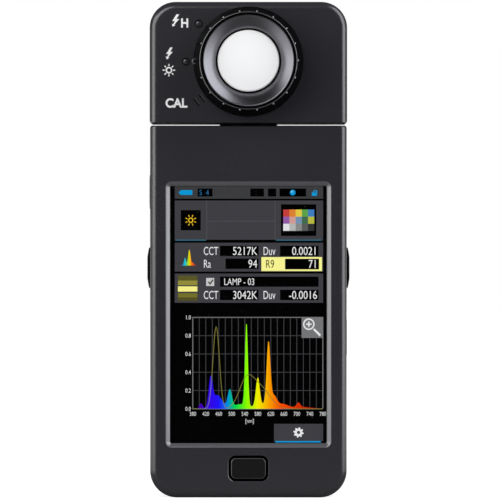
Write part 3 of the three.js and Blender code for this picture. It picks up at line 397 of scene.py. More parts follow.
def coverGlass():
    values = {"Transmission Weight": 1.0, "IOR": glassLook["ior"], "Base Color": glassLook["tint"]}
    material, tree, shader = startMaterial("glass", values)
    smears = noise(tree, objectPlace(tree), glassLook["smearScale"], patterns["fineDetail"])
    wire(tree, shader.inputs, {"Roughness": sums(tree, "MULTIPLY", smears, glassLook["smear"])})
    return material


def litScreen():
    look = litLook
    material, tree, shader = startMaterial("lit_screen", {
        "Roughness": look["roughness"], "IOR": look["ior"], "Emission Strength": look["strength"],
        "Base Color": look["base"],
    })
    lit = put(tree, "ShaderNodeAttribute", attribute_name="lit", attribute_type="GEOMETRY").outputs["Color"]
    fine = noise(tree, objectPlace(tree), look["grain"], patterns["fineDetail"])
    level = sums(tree, "MULTIPLY_ADD", fine, look["spread"], look["least"])
    wire(tree, shader.inputs, {"Emission Color": scaled(tree, lit, level)})
    return material


def displayPanel():
    look = panelLook
    values = {"Roughness": look["roughness"], "IOR": look["ior"]}
    material, tree, shader = startMaterial("display_panel", values)
    cells = put(tree, "ShaderNodeTexChecker", {
        "Vector": objectPlace(tree), "Scale": look["cells"],
        "Color1": linear(*look["even"]), "Color2": linear(*look["odd"]),
    })
    wire(tree, shader.inputs, {"Base Color": cells.outputs["Color"]})
    return material


def boardResist():
    look = boardLook
    material, tree, shader = startMaterial("board", {"IOR": look["ior"]})
    place = objectPlace(tree)
    tracks = put(tree, "ShaderNodeTexBrick", {
        "Vector": place, "Scale": look["trackScale"], "Mortar Size": look["trackWidth"],
        "Color1": linear(*look["resist"]), "Color2": linear(*look["resistPale"]),
        "Mortar": linear(*look["track"]),
    }).outputs["Color"]
    pads = put(tree, "ShaderNodeTexVoronoi", {"Vector": place, "Scale": look["padScale"]})
    mask = sums(tree, "LESS_THAN", pads.outputs["Distance"], look["padSize"])
    wire(tree, shader.inputs, {
        "Base Color": mixed(tree, mask, tracks, linear(*look["pad"])),
        "Roughness": sums(tree, "MULTIPLY_ADD", mask, look["padShine"], look["roughness"]),
    })
    return material


def cellWrap():
    look = wrapLook
    material, tree, shader = startMaterial("cell", {"IOR": look["ior"]})
    distance = sums(tree, "ABSOLUTE", axes(tree, objectPlace(tree))["X"])
    bare = sums(tree, "GREATER_THAN", distance, look["bandEnd"] * mm)
    pale = sums(tree, "GREATER_THAN", distance, look["bandStart"] * mm)
    wrap = put(tree, "ShaderNodeGroup", {
        "Colour": mixed(tree, pale, linear(*look["body"]), linear(*look["band"])),
        "Shade": look["shade"], "Grain Scale": look["grain"], "Roughness": look["roughness"],
    }, node_tree=mouldedGrain).outputs
    wire(tree, shader.inputs, {
        "Base Color": wrap["Colour"], "Roughness": wrap["Roughness"], "Metallic": bare,
    })
    return material


finishes = {name: plastic(name, row) for name, row in plastics.items()}
finishes.update({name: metal(name, row) for name, row in metals.items()})
finishes["dish"] = dishMetal()
finishes["glass"] = coverGlass()
finishes["lit_screen"] = litScreen()
finishes["screen"] = displayPanel()
finishes["board"] = boardResist()
finishes["cell"] = cellWrap()
print("materials made")

# Shapes, as loose objects in millimetres
roundness = {"corner": 18, "edge": 8, "leastCorner": 0.25}
facets = {
    "fine": 240, "dome": 192, "turned": 160, "hole": 96, "socket": 64, "circle": 48, "screw": 40,
    "bore": 32,
}


def looseObject(name, made):
    bmesh.ops.recalc_face_normals(made, faces=made.faces)
    mesh = bpy.data.meshes.new(name)
    made.to_mesh(mesh)
    made.free()
    return linked(name, mesh)


# A closed skin over rows of points
def skinned(made, rows):
    faces = []
    for first, second in zip(rows, rows[1:]):
        for index in range(len(first)):
            after = (index + 1) % len(first)
            corners = (first[index], first[after], second[after], second[index])
            faces.append(made.faces.new(corners))
    return [*faces, made.faces.new(rows[0]), made.faces.new(rows[-1])]


# A rounded rectangle; the side at the neck may be drawn in less than the others
def outlinePoints(shape, inset=0.0, neckInset=None):
    neckInset = inset if neckInset is None else neckInset
    half = shape["half"] - inset
    low = shape["low"] + (neckInset if shape.get("neckEnd") == "low" else inset)
    high = shape["high"] - (neckInset if shape.get("neckEnd") == "high" else inset)
    lowRadius = max(shape["lowCorner"] - inset, roundness["leastCorner"])
    highRadius = max(shape["highCorner"] - inset, roundness["leastCorner"])
    corners = [
        (half - lowRadius, low + lowRadius, lowRadius, 3),
        (half - highRadius, high - highRadius, highRadius, 0),
        (highRadius - half, high - highRadius, highRadius, 1),
        (lowRadius - half, low + lowRadius, lowRadius, 2),
    ]
    points = []
    for x, z, radius, quarter in corners:
        for step in range(roundness["corner"] + 1):
            angle = math.pi / 2 * (quarter + step / roundness["corner"])
            points.append((x + radius * math.cos(angle), z + radius * math.sin(angle)))
    return points


def loft(name, shape, stations):
    made = bmesh.new()
    rows = []
    for y, *insets in stations:
        rows.append([made.verts.new((x, y, z)) for x, z in outlinePoints(shape, *insets)])
    skinned(made, rows)
    return looseObject(name, made)


# Points of a band that starts at one slope and ends at another
def bentBand(width, depth, startTilt, endTilt, steps):
    shares = [(step + 0.5) / steps for step in range(steps)]
    tilts = [math.radians(startTilt + (endTilt - startTilt) * share) for share in shares]
    across = [math.cos(tilt) for tilt in tilts]
    down = [math.sin(tilt) for tilt in tilts]
    points = []
    for step in range(steps + 1):
        share = sum(across[:step]) / sum(across)
        points.append((width * share, depth * sum(down[:step]) / sum(down)))
    return points


def roundedStations(face, inward, radius, inset=0.0, neckRound=None):
    stations = []
    for step in range(roundness["edge"] + 1):
        angle = math.pi / 2 * (1 - step / roundness["edge"])
        drawn = radius * (1 - math.cos(angle))
        neckDrawn = drawn if neckRound is None else min(drawn, neckRound)
        place = face + inward * radius * (1 - math.sin(angle))
        stations.append((place, inset + drawn, inset + neckDrawn))
    return stations


# A cover: rounded outside, open at the seam, with a wall of even thickness
def cup(name, shape, face, end, faceRound):
    inward = 1 if end > face else -1
    wall, lip = case["wall"], case["seamChamfer"]
    stations = roundedStations(face, inward, faceRound, neckRound=case["neckRound"])
    stations += [(end - inward * lip, 0), (end, lip), (end, wall)]
    stations += reversed(roundedStations(face + inward * wall, inward, case["innerRound"], wall))
    return loft(name, shape, stations)


# A turned shape with its own UV map, which the turned finish follows
def turned(name, profile, place, steps=facets["turned"]):
    made = bmesh.new()
    layer = made.loops.layers.uv.new("turned")
    looped = profile[0] == profile[-1]
    angles = [2 * math.pi * step / steps for step in range(steps)]
    rows = []
    for radius, along in profile[:-1] if looped else profile:
        if radius == 0:
            rows.append([made.verts.new(place @ Vector((0, 0, along)))] * steps)
        else:
            around = [Vector((radius * math.cos(a), radius * math.sin(a), along)) for a in angles]
            rows.append([made.verts.new(place @ point) for point in around])
    pairs = list(zip(rows, rows[1:])) + ([(rows[-1], rows[0])] if looped else [])
    for level, (first, second) in enumerate(pairs):
        for index in range(steps):
            after = (index + 1) % steps
            corners = [
                (first[index], index, level), (first[after], index + 1, level),
                (second[after], index + 1, level + 1), (second[index], index, level + 1),
            ]
            kept = [corner for spot, corner in enumerate(corners) if corner[0] is not corners[spot - 1][0]]
            if len(kept) < 3:
                continue
            face = made.faces.new([corner[0] for corner in kept])
            for loop, (_, column, row) in zip(face.loops, kept):
                loop[layer].uv = (column / steps, row / len(pairs))
    return looseObject(name, made)


def alongY(x=0.0, z=0.0):
    return Matrix(((1, 0, 0, x), (0, 0, 1, 0), (0, 1, 0, z), (0, 0, 0, 1)))


def alongX(y, z):
    return Matrix(((0, 0, 1, 0), (1, 0, 0, y), (0, 1, 0, z), (0, 0, 0, 1)))


def alongZ(x=0.0, y=0.0):
    return Matrix.Translation((x, y, 0))


def rod(name, radius, start, end, place, steps):
    return turned(name, [(0, start), (radius, start), (radius, end), (0, end)], place, steps)


# The profile of a round wire bent into a ring
def wireProfile(radius, tube, y, steps):
    turns = [2 * math.pi * step / steps for step in range(steps)]
    profile = [(radius + tube * math.cos(turn), y + tube * math.sin(turn)) for turn in turns]
    return [*profile, profile[0]]


def prism(name, points, front, back):
    made = bmesh.new()
    skinned(made, [[made.verts.new((x, y, z)) for x, z in points] for y in (front, back)])
    return looseObject(name, made)


def block(name, left, right, front, back, low, high):
    return prism(name, [(left, low), (right, low), (right, high), (left, high)], front, back)


def roundedBox(half, low, high, lowCorner, highCorner=None, **more):
    highCorner = lowCorner if highCorner is None else highCorner
    return {"half": half, "low": low, "high": high, "lowCorner": lowCorner, "highCorner": highCorner, **more}


def grown(shape, by):
    return {
        **shape,
        "half": shape["half"] + by,
        "low": shape["low"] - by,
        "high": shape["high"] + by,
        "lowCorner": shape["lowCorner"] + by,
        "highCorner": shape["highCorner"] + by,
    }


# The modifiers' result becomes the piece's own mesh, and the helpers go
def settled(piece, helpers=()):
    graph = bpy.context.evaluated_depsgraph_get()
    mesh = bpy.data.meshes.new_from_object(piece.evaluated_get(graph))
    piece.modifiers.clear()
    spent = piece.data
    piece.data = mesh
    bpy.data.meshes.remove(spent)
    while mesh.materials and None in list(mesh.materials):
        mesh.materials.clear()
    for helper in helpers:
        bpy.data.objects.remove(helper)
    return piece


def carved(piece, cutters=(), joined=()):
    for operation, others in (("UNION", joined), ("DIFFERENCE", cutters)):
        for other in others:
            change = piece.modifiers.new(operation, "BOOLEAN")
            change.operation = operation
            change.solver = "MANIFOLD"
            change.object = other
    return settled(piece, [*joined, *cutters])


# Metres, shading, body and the CAD nodes that the piece takes the place of
def finished(piece, finish, body, replaced=(), sharpAngle=32):
    mesh = piece.data
    if not mesh.materials:
        mesh.materials.append(finishes[finish])
    mesh.transform(Matrix.Scale(mm, 4))
    made = bmesh.new()
    made.from_mesh(mesh)
    for face in made.faces:
        face.smooth = sharpAngle > 0
    for edge in made.edges:
        edge.smooth = edge.calc_face_angle(0) < math.radians(sharpAngle)
    made.to_mesh(mesh)
    made.free()
    if sharpAngle:
        weighted = piece.modifiers.new("even_normals", "WEIGHTED_NORMAL")
        weighted.keep_sharp = True
    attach(piece, body)
    if replaced:
        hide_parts(*replaced)


def addFinishes(piece, *names):
    for name in names:
        piece.data.materials.append(finishes[name])


# A Geometry Nodes tree that sets copies of one object in a row, or turns them about the Y axis
def copiesTree():
    group, given, result = startGroup(
        "copies in a row or a ring",
        [
            ("Geometry", "NodeSocketGeometry", None),
            ("Copy", "NodeSocketObject", None),
            ("Count", "NodeSocketInt", 4),
            ("Step", "NodeSocketVector", (0, 0, 0)),
            ("Turn", floatSocket, 0.0),
            ("Centre", "NodeSocketVector", (0, 0, 0)),
            ("Finish", "NodeSocketMaterial", None),
        ],
        [("Geometry", "NodeSocketGeometry")],
        "GeometryNodeTree",
    )
    index = group.nodes.new("GeometryNodeInputIndex").outputs[0]
    place = scaled(group, given["Step"], index)
    turning = put(group, "ShaderNodeCombineXYZ", {"Y": sums(group, "MULTIPLY", index, given["Turn"])})
    points = put(group, "GeometryNodePoints", {"Count": given["Count"], "Position": place})
    source = put(group, "GeometryNodeObjectInfo", {"Object": given["Copy"]})
    copied = put(group, "GeometryNodeInstanceOnPoints", {
        "Points": points.outputs[0], "Instance": source.outputs["Geometry"],
        "Rotation": turning.outputs[0],
    })
    real = put(group, "GeometryNodeRealizeInstances", {"Geometry": copied.outputs[0]})
    values = {"Geometry": real.outputs[0], "Translation": given["Centre"]}
    moved = put(group, "GeometryNodeTransform", values)
    values = {"Geometry": moved.outputs[0], "Material": given["Finish"]}
    wire(group, result, {"Geometry": put(group, "GeometryNodeSetMaterial", values).outputs[0]})
    return group


copies = copiesTree()


def repeated(name, copy, count, step=(0, 0, 0), turn=0.0, centre=(0, 0, 0), finish="shell"):
    piece = linked(name, bpy.data.meshes.new(name))
    change = piece.modifiers.new("copies", "NODES")
    change.node_group = copies
    values = {
        "Copy": copy, "Count": count, "Step": step, "Turn": turn, "Centre": centre,
        "Finish": finishes[finish],
    }
    for socket in copies.interface.items_tree:
        if socket.item_type == "SOCKET" and socket.in_out == "INPUT" and socket.name in values:
            change[socket.identifier] = values[socket.name]
    return settled(piece, [copy])


# Covers of the body and the head
case = {
    "wall": 1.8, "baseCorner": 10.0, "crownCorner": 9.6, "neckCorner": 1.0, "neckRound": 0.4,
    "frontRound": 2.7, "backRound": 4.0, "innerRound": 1.2, "seamChamfer": 0.12, "bossRadius": 2.2,
    "gap": 0.3, "overrun": 1.0, "neckHole": 9.65, "neckTrim": 0.13, "headTrim": 0.05,
}
bodyOutline = roundedBox(
    rearBox.right, rearBox.low, rearBox.high + case["neckTrim"],
    case["baseCorner"], case["neckCorner"], neckEnd="high",
)
headOutline = roundedBox(
    headRearBox.right - case["headTrim"], headRearBox.low - case["neckTrim"], headRearBox.high,
    case["neckCorner"], case["crownCorner"], neckEnd="low",
)
screwShape = {
    "radius": 0.8, "headRadius": 1.45, "headHeight": 1.2, "slot": 0.4, "slotDepth": 0.5,
    "slotReach": 0.72, "round": 0.25,
}
bodyScrews = [f"case_screw_{number}" for number in range(1, 5)]
headScrews = [f"head_screw_{number}" for number in range(1, 5)]


def screwBore(x, z, box):
    gap, over = case["gap"], case["overrun"]
    floor = box.back - screwShape["headHeight"] - gap
    bore = screwShape["radius"] + gap
    wide = screwShape["headRadius"] + gap
    start, past = box.front - over, rearBox.back + over
    profile = [(0, start), (bore, start), (bore, floor), (wide, floor), (wide, past), (0, past)]
    return turned("bore", profile, alongY(x, z), facets["bore"])


# A cup with bosses for its screws, the bores through them and its own cutters and additions
def cover(name, shape, face, end, faceRound, screws, cutters, joined=()):
    shell = cup(name, shape, face, end, faceRound)
    inner = face + math.copysign(case["wall"] / 2, end - face)
    box = extentOf(screws[0])
    bosses, bores = [], []
    for node in screws:
        x, _, z = middleOf(node)
        bosses.append(rod("boss", case["bossRadius"], *sorted((inner, end)), alongY(x, z), facets["screw"]))
        bores.append(screwBore(x, z, box))
    return carved(shell, [*bores, *cutters], [*bosses, *joined])


def neckCut(z):
    reach = case["wall"] + case["overrun"]
    return rod("neck", case["neckHole"], z - reach, z + reach, alongZ(), facets["hole"])


window = {
    "lap": 1.05, "corner": 0.6, "bevelWidth": 1.65, "bevelDepth": 1.1, "lip": 0.3,
    "outerTilt": 24, "innerTilt": 44, "steps": 8, "glassEdge": 0.15,
}
windowOutline = roundedBox(
    glassBox.right - window["lap"], glassBox.low + window["lap"], glassBox.high - window["lap"],
    window["corner"],
)
powerShape = {
    "width": 12.75, "height": 7.55, "corner": 1.7, "margin": 1.05, "edge": 0.24, "flange": 1.2,
    "flangeThickness": 1.4, "chamfer": 0.12, "lift": 0.22,
}
slopes = {"bevel": (0.05, 0.99), "keyEdge": (0.1, 0.98)}


def powerOutline(growth=0.0):
    centre = (powerBox.low + powerBox.high) / 2 + powerShape["lift"]
    reach = powerShape["height"] / 2
    shape = roundedBox(powerShape["width"] / 2, centre - reach, centre + reach, powerShape["corner"])
    return grown(shape, growth)


def windowCutters():
    face, over = frontBox.front, case["overrun"]
    width, depth = window["bevelWidth"], window["bevelDepth"]
    lipBack = face + depth + window["lip"]
    band = bentBand(width, depth, window["outerTilt"], window["innerTilt"], window["steps"])
    stations = [(face - over, -width)]
    stations += [(face + down, across - width) for across, down in band]
    opening = loft("opening", windowOutline, [*stations, (lipBack + over, 0)])
    pocketOutline = grown(windowOutline, window["lap"] + case["gap"])
    pocket = loft("pocket", pocketOutline, [(lipBack, 0), (face + case["wall"] + over, 0)])
    return [opening, pocket]


def powerCutter():
    face, over, flare = frontBox.front, case["overrun"], powerShape["chamfer"]
    return loft("power hole", powerOutline(powerShape["margin"]), [
        (face - over, -flare - over), (face + flare, 0), (face + case["wall"] + over, 0),
    ])


# The sloping faces inside an outline get another finish, a lighter grey that is a painted highlight
def paintBevel(piece, outer, front, back, index):
    least, most = slopes["bevel"]
    for face in piece.data.polygons:
        x, y, z = face.center
        inside = abs(x) < outer["half"] and outer["low"] < z < outer["high"]
        if inside and front < y < back and least < abs(face.normal.y) < most:
            face.material_index = index


def makeFrontCover():
    front = frontBox.front
    cutters = [*windowCutters(), powerCutter(), neckCut(frontBox.high)]
    shell = cover("front_cover_shell", bodyOutline, front, frontBox.back, case["frontRound"],
                  bodyScrews, cutters)
    addFinishes(shell, "shell", "bezel", "painted_edge_highlight")
    # The window's bevel takes a lighter grey, a painted highlight, and the power key recess's chamfer a
    # painted edge highlight
    paintBevel(shell, grown(windowOutline, window["bevelWidth"]), front, front + window["bevelDepth"], 1)
    powerRim = powerOutline(powerShape["margin"] + powerShape["chamfer"])
    paintBevel(shell, powerRim, front, front + powerShape["chamfer"], 2)
    finished(shell, "shell", "housing", ["front_cover"])


lidShape = {
    "corner": 2.5, "edge": 0.35, "gripWidth": 14.0, "gripHeight": 1.0, "gripPitch": 2.2,
    "gripDepth": 0.5, "gripCount": 4, "gripDrop": 3.6,
    "arrowDrop": 1.0, "arrowWidth": 4.4, "arrowHeight": 2.6, "arrowDepth": 0.25,
}
lidOutline = roundedBox(lidBox.right, lidBox.low, lidBox.high, lidShape["corner"])
tripodShape = {"bore": 3.2, "wall": 1.4, "thread": 0.35, "pitch": 1.27, "chamfer": 0.3}
strapShape = {"length": 10.0, "width": 6.0, "depth": 4.0, "wall": 1.4}
portShape = {
    "recess": 0.9, "margin": 0.2, "corner": 1.2, "holeCorner": 0.4, "edge": 0.3,
    "nickLength": 2.2, "nickWidth": 0.5, "nickCorner": 0.25, "nickDepth": 0.25, "nickEnd": 1.6,
}
measureKey = {"width": 8.0, "length": 15.2, "proud": 1.45, "sag": 0.9, "round": 0.4}
sideKeys = {
    "left_measure_button": {"side": -1, **measureKey},
    "right_measure_button": {"side": 1, **measureKey},
    "memory_key": {"side": -1, "width": 5.0, "length": 13.0, "proud": 0.5, "sag": 0.2, "round": 0.3},
}
keyShape = {
    "flange": 1.2, "flangeThickness": 1.4, "runGap": 0.35, "flare": 0.2, "skin": 0.01,
    "crown": (0.42, 0.3, 0.18), "crossSag": 0.6,
}


def sideOutline(node, growth=0.0):
    values = sideKeys[node]
    centre, reach, half = middleOf(node)[2], values["length"] / 2, values["width"] / 2
    return grown(roundedBox(half, centre - reach, centre + reach, half - roundness["leastCorner"]), growth)


def turnedToSide(piece, side, y):
    piece.data.transform(Matrix.Translation((0, y, 0)) @ Matrix.Rotation(side * math.pi / 2, 4, "Z"))
    return piece


def sideCutter(node):
    over, flare, side = case["overrun"], keyShape["flare"], rearBox.right
    hole = loft("key hole", sideOutline(node, keyShape["runGap"]), [
        (-side - over, -flare), (-side - keyShape["skin"], -flare), (-side + flare, 0),
        (-side + case["wall"] + over, 0),
    ])
    return turnedToSide(hole, sideKeys[node]["side"], middleOf(node)[1])


def portOutline(length, width, corner, shift=0.0):
    centre = middleOf("port_cover")[2] + shift
    return roundedBox(width / 2, centre - length / 2, centre + length / 2, corner)


def plugOutline(growth):
    length, width = usbBox.high - usbBox.low, usbBox.back - usbBox.front
    return portOutline(length + growth, width + growth, portShape["holeCorner"])


def portCutters():
    y, side = middleOf("port_cover")[1], rearBox.right
    inner, outer, room = side - case["wall"] - case["overrun"], side + case["overrun"], 2 * case["gap"]
    length, width = portBox.high - portBox.low, portBox.back - portBox.front
    recessShape = portOutline(length + room, width + room, portShape["corner"])
    recess = loft("port recess", recessShape, [(-outer, 0), (portShape["recess"] - side, 0)])
    hole = loft("port hole", plugOutline(2 * portShape["margin"]), [(-outer, 0), (-inner, 0)])
    return [turnedToSide(piece, 1, y) for piece in (recess, hole)]


def strapPieces():
    x, y, z = middleOf("strap_pin")
    length, width, wall = strapShape["length"] / 2, strapShape["width"] / 2, strapShape["wall"]
    left, floor, gap = rearBox.left, rearBox.left + strapShape["depth"], case["gap"]
    front, back, low, high = y - width, y + width, z - length, z + length
    housing = block("strap housing", left + case["wall"] / 2, floor + wall,
                    front - wall, back + wall, low - wall, high + wall)
    pocket = block("strap pocket", left - case["overrun"], floor, front, back, low, high)
    reach = (strapBox.high - strapBox.low) / 2 + gap
    radius = (strapBox.right - strapBox.left) / 2 + gap
    hole = rod("pin hole", radius, z - reach, z + reach, alongZ(x, y), facets["bore"])
    return housing, [pocket, hole]


def makeRearCover():
    x, _, z = middleOf("tripod_insert")
    place, gap, wall, back = alongY(x, z), case["gap"], tripodShape["wall"], rearBox.back
    radius = (tripodBox.right - tripodBox.left) / 2 + gap
    floor, inner, past = tripodBox.front - gap, back - case["wall"] / 2, back + case["overrun"]
    boss = rod("tripod boss", radius + wall, floor - wall, inner, place, facets["socket"])
    housing, strapCutters = strapPieces()
    start = back - case["wall"] - case["overrun"]
    cutters = [
        neckCut(rearBox.high),
        loft("lid opening", grown(lidOutline, gap), [(start, 0), (past, 0)]),
        rod("tripod pocket", radius, floor, past, place, facets["socket"]),
        *strapCutters,
        *portCutters(),
        *[sideCutter(node) for node in sideKeys],
    ]
    shell = cover("rear_cover_shell", bodyOutline, back, rearBox.front, case["backRound"],
                  bodyScrews, cutters, [boss, housing])
    finished(shell, "shell", "housing", ["rear_cover"])


slots = {"pinCircle": 17.75, "pinRadius": 1.0, "gap": 0.35, "sweep": 44, "steps": 24, "middles": (90, -90)}


def arcCutter(middle):
    half = slots["pinRadius"] + slots["gap"]
    outer, inner = [], []
    for step in range(slots["steps"] + 1):
        angle = math.radians(middle - slots["sweep"] + 2 * slots["sweep"] * step / slots["steps"])
        across, up = math.cos(angle), math.sin(angle)
        far, near = slots["pinCircle"] + half, slots["pinCircle"] - half
        outer.append((far * across, ringHeight + far * up))
        inner.insert(0, (near * across, ringHeight + near * up))
    face, over = headFrontBox.front, case["overrun"]
    return prism("slot", outer + inner, face - over, face + case["wall"] + over)


def makeHeadFront():
    face, over = headFrontBox.front, case["overrun"]
    hole = rod("receptor hole", dish["seat"] + case["gap"], face - over, face + case["wall"] + over,
               alongY(0, ringHeight), facets["hole"])
    cutters = [neckCut(headFrontBox.low), hole, *[arcCutter(middle) for middle in slots["middles"]]]
    shell = cover("head_front_cover", headOutline, face, headFrontBox.back, case["frontRound"],
                  headScrews, cutters)
    finished(shell, "shell", "head", ["head_front_shell"])


def makeHeadRear():
    shell = cover("head_rear_cover", headOutline, headRearBox.back, headRearBox.front,
                  case["backRound"], headScrews, [neckCut(headRearBox.low)])
    finished(shell, "shell", "head", ["head_rear_shell"])


# Keys, lid, port cover and small hardware


def makePowerKey():
    face, back, edge = powerBox.front, powerBox.back, powerShape["edge"]
    cap = loft("power_button", powerOutline(), [*roundedStations(face, 1, edge), (back, 0)])
    flangeShape = powerOutline(powerShape["margin"] + powerShape["flange"])
    flange = loft("flange", flangeShape, [(back - powerShape["flangeThickness"], 0), (back, 0)])
    carved(cap, joined=[flange])
    addFinishes(cap, "black_plastic", "painted_edge_highlight", "deep_black_and_shade")
    least, most = slopes["keyEdge"]
    # The key's sides and flange take the deepest black as painted shade in the groove, and its sloping edge
    # faces a pale grey as a painted edge highlight
    for side in cap.data.polygons:
        if side.center.y > face + edge:
            side.material_index = 2
        elif least < abs(side.normal.y) < most:
            side.material_index = 1
    finished(cap, "black_plastic", "power_key", ["power_key"])


def makeSideKey(node):
    _, y, middle = middleOf(node)
    values, side = sideKeys[node], rearBox.right
    rounded = roundedStations(-side - values["proud"], 1, values["round"])
    crown = [(rounded[0][0], values["width"] * share) for share in keyShape["crown"]]
    flangeOuter = case["wall"] + keyShape["runGap"] - side
    flangeInner = flangeOuter + keyShape["flangeThickness"]
    cap = loft(node + "_cap", sideOutline(node), [*crown, *rounded, (flangeInner, 0)])
    crossSag = values["round"] * keyShape["crossSag"]
    for vertex in cap.data.vertices:
        if vertex.co.y < -side:
            along = (vertex.co.z - middle) / (values["length"] / 2)
            across = vertex.co.x / (values["width"] / 2)
            vertex.co.y += values["sag"] * along * along + crossSag * across * across
    flangeShape = sideOutline(node, keyShape["flange"])
    carved(cap, joined=[loft("flange", flangeShape, [(flangeOuter, 0), (flangeInner, 0)])])
    finished(turnedToSide(cap, values["side"], y), "deep_black_and_shade", node, [node])


def makeLid():
    back, past, half = lidBox.back, lidBox.back + case["overrun"], lidShape["gripWidth"] / 2
    stations = [*roundedStations(back, -1, lidShape["edge"]), (lidBox.front, 0)]
    lid = loft("battery_door", lidOutline, stations)
    high = lidBox.high - lidShape["gripDrop"]
    groove = block("groove", -half, half, back - lidShape["gripDepth"], past,
                   high - lidShape["gripHeight"], high)
    grips = repeated("grips", groove, lidShape["gripCount"], step=(0, 0, -lidShape["gripPitch"]))
    high -= lidShape["gripPitch"] * lidShape["gripCount"] + lidShape["arrowDrop"]
    half = lidShape["arrowWidth"] / 2
    points = [(-half, high), (half, high), (0, high - lidShape["arrowHeight"])]
    arrow = prism("arrow", points, back - lidShape["arrowDepth"], past)
    finished(carved(lid, [grips, arrow]), "shell", "battery_lid", ["battery_lid"])


def makePortCover():
    length, width = portBox.high - portBox.low, portBox.back - portBox.front
    gap, face = case["gap"], -portBox.right
    floor = portShape["recess"] - gap - rearBox.right
    plateShape = portOutline(length, width, portShape["corner"])
    plate = loft("port_flap", plateShape, [*roundedStations(face, 1, portShape["edge"]), (floor, 0)])
    tongueShape = plugOutline(2 * (portShape["margin"] - gap))
    tongue = loft("tongue", tongueShape, [(floor - gap, 0), (-portBox.left, 0)])
    nickShape = portOutline(portShape["nickLength"], portShape["nickWidth"], portShape["nickCorner"],
                            length / 2 - portShape["nickEnd"])
    nickStations = [(face - case["overrun"], 0), (face + portShape["nickDepth"], 0)]
    carved(plate, [loft("notch", nickShape, nickStations)], [tongue])
    turnedToSide(plate, 1, middleOf("port_cover")[1])
    finished(plate, "rubber", "port_cover", ["port_cover"])


def makeTripodInsert():
    x, _, z = middleOf("tripod_insert")
    outer, front, back = (tripodBox.right - tripodBox.left) / 2, tripodBox.front, tripodBox.back
    bore, thread, pitch = tripodShape["bore"], tripodShape["thread"], tripodShape["pitch"]
    chamfer = tripodShape["chamfer"]
    profile = [
        (bore, front), (outer, front), (outer, back - chamfer), (outer - chamfer, back),
        (bore + chamfer, back),
    ]
    along = back - chamfer
    while along - pitch > front + chamfer:
        profile += [(bore, along), (bore + thread, along - pitch / 2)]
        along -= pitch
    profile += [(bore, along), (bore, front)]
    insert = turned("tripod_socket", profile, alongY(x, z), facets["hole"])
    finished(insert, "brass", "housing", ["tripod_insert"])


def makeStrapPin():
    x, y, _ = middleOf("strap_pin")
    radius = (strapBox.right - strapBox.left) / 2
    pin = rod("strap_bar", radius, strapBox.low, strapBox.high, alongZ(x, y), facets["screw"])
    finished(pin, "steel", "housing", ["strap_pin"])


def makeScrews(nodes, body):
    front, back = extentOf(nodes[0]).front, extentOf(nodes[0]).back
    edge, radius, head = screwShape["round"], screwShape["radius"], screwShape["headRadius"]
    seat, floor = back - screwShape["headHeight"], back - screwShape["slotDepth"]
    half, reach, past = screwShape["slot"] / 2, head * screwShape["slotReach"], back + case["overrun"]
    profile = [
        (0, front), (radius - edge, front), (radius, front + edge), (radius, seat), (head, seat),
        (head, back - edge), (head - edge, back), (0, back),
    ]
    for node in nodes:
        x, _, z = middleOf(node)
        screw = turned(node + "_fine", profile, alongY(x, z), facets["screw"])
        across = block("slot", x - reach, x + reach, floor, past, z - half, z + half)
        upright = block("slot", x - half, x + half, floor, past, z - reach, z + reach)
        finished(carved(screw, [across, upright]), "steel", body, [node])


neck = {
    "radius": 9.3, "bore": 7.3, "flange": 10.5, "lowFlange": 2.0, "topFlange": 1.1, "collar": 10.7,
    "collarGap": 0.2,
}


def makeNeck():
    box = extentOf("neck_tube")
    low, high = frontBox.high + neck["collarGap"], headFrontBox.low - neck["collarGap"]
    foot, top = box.low + neck["lowFlange"], box.high - neck["topFlange"]
    radius, bore, flange, collar = neck["radius"], neck["bore"], neck["flange"], neck["collar"]
    profile = [
        (bore, box.low), (flange, box.low), (flange, foot), (radius, foot), (radius, low),
        (collar, low), (collar, high), (radius, high), (radius, top), (flange, top),
        (flange, box.high), (bore, box.high), (bore, box.low),
    ]
    # The neck takes the deepest black, which is also painted shade where it shows in the gap under the head
    finished(turned("neck_spool", profile, alongZ()), "deep_black_and_shade", "head", ["neck_tube"])


# Select ring, dish and diffuser
dish = {
    "seat": 15.0, "rim": 0.3, "collar": 1.6, "bore": 11.95, "rimTilt": 31, "floorTilt": 46, "steps": 24,
}
ring = {
    "baseRadius": 20.3, "frontRadius": 17.72, "bore": 15.35, "counterbore": 17.15, "edge": 0.24,
    "chamfer": 0.12, "shoulder": -20.6,
}
rib = {
    "count": 18, "width": 1.1, "proud": 0.45, "sink": 0.6, "front": -26.15, "back": -15.05, "steps": 8,
    "frontEnd": ((0, 0.25), (0.3, 0.85), (0.9, 1.0)), "backEnd": ((0.9, 1.0), (0.3, 0.8), (0, 0.2)),
}
ribTurn = 2 * math.pi / rib["count"]
nub = {"width": 1.0, "length": 0.55, "rise": 0.5, "sink": 0.3, "steps": 8, "skipped": 1}
pointerShape = {"radius": 0.95, "tube": 0.24, "reach": 19.5, "along": -18.4, "steps": 10}
diffuserShape = {
    "radius": 11.3, "edgeY": -22.9, "edge": 0.35, "dome": 0.9, "flange": 1.0, "flangeThickness": 2.0,
    "steps": 24,
}
gasketShape = {"inner": 11.36, "front": -22.55, "back": -22.0, "edge": 0.08, "gap": 0.02}


def flankRadius(y):
    share = (y - ringBox.front) / (ringBox.back - ringBox.front)
    start = ring["frontRadius"] + ring["edge"]
    return start + (ring["baseRadius"] - start) * share


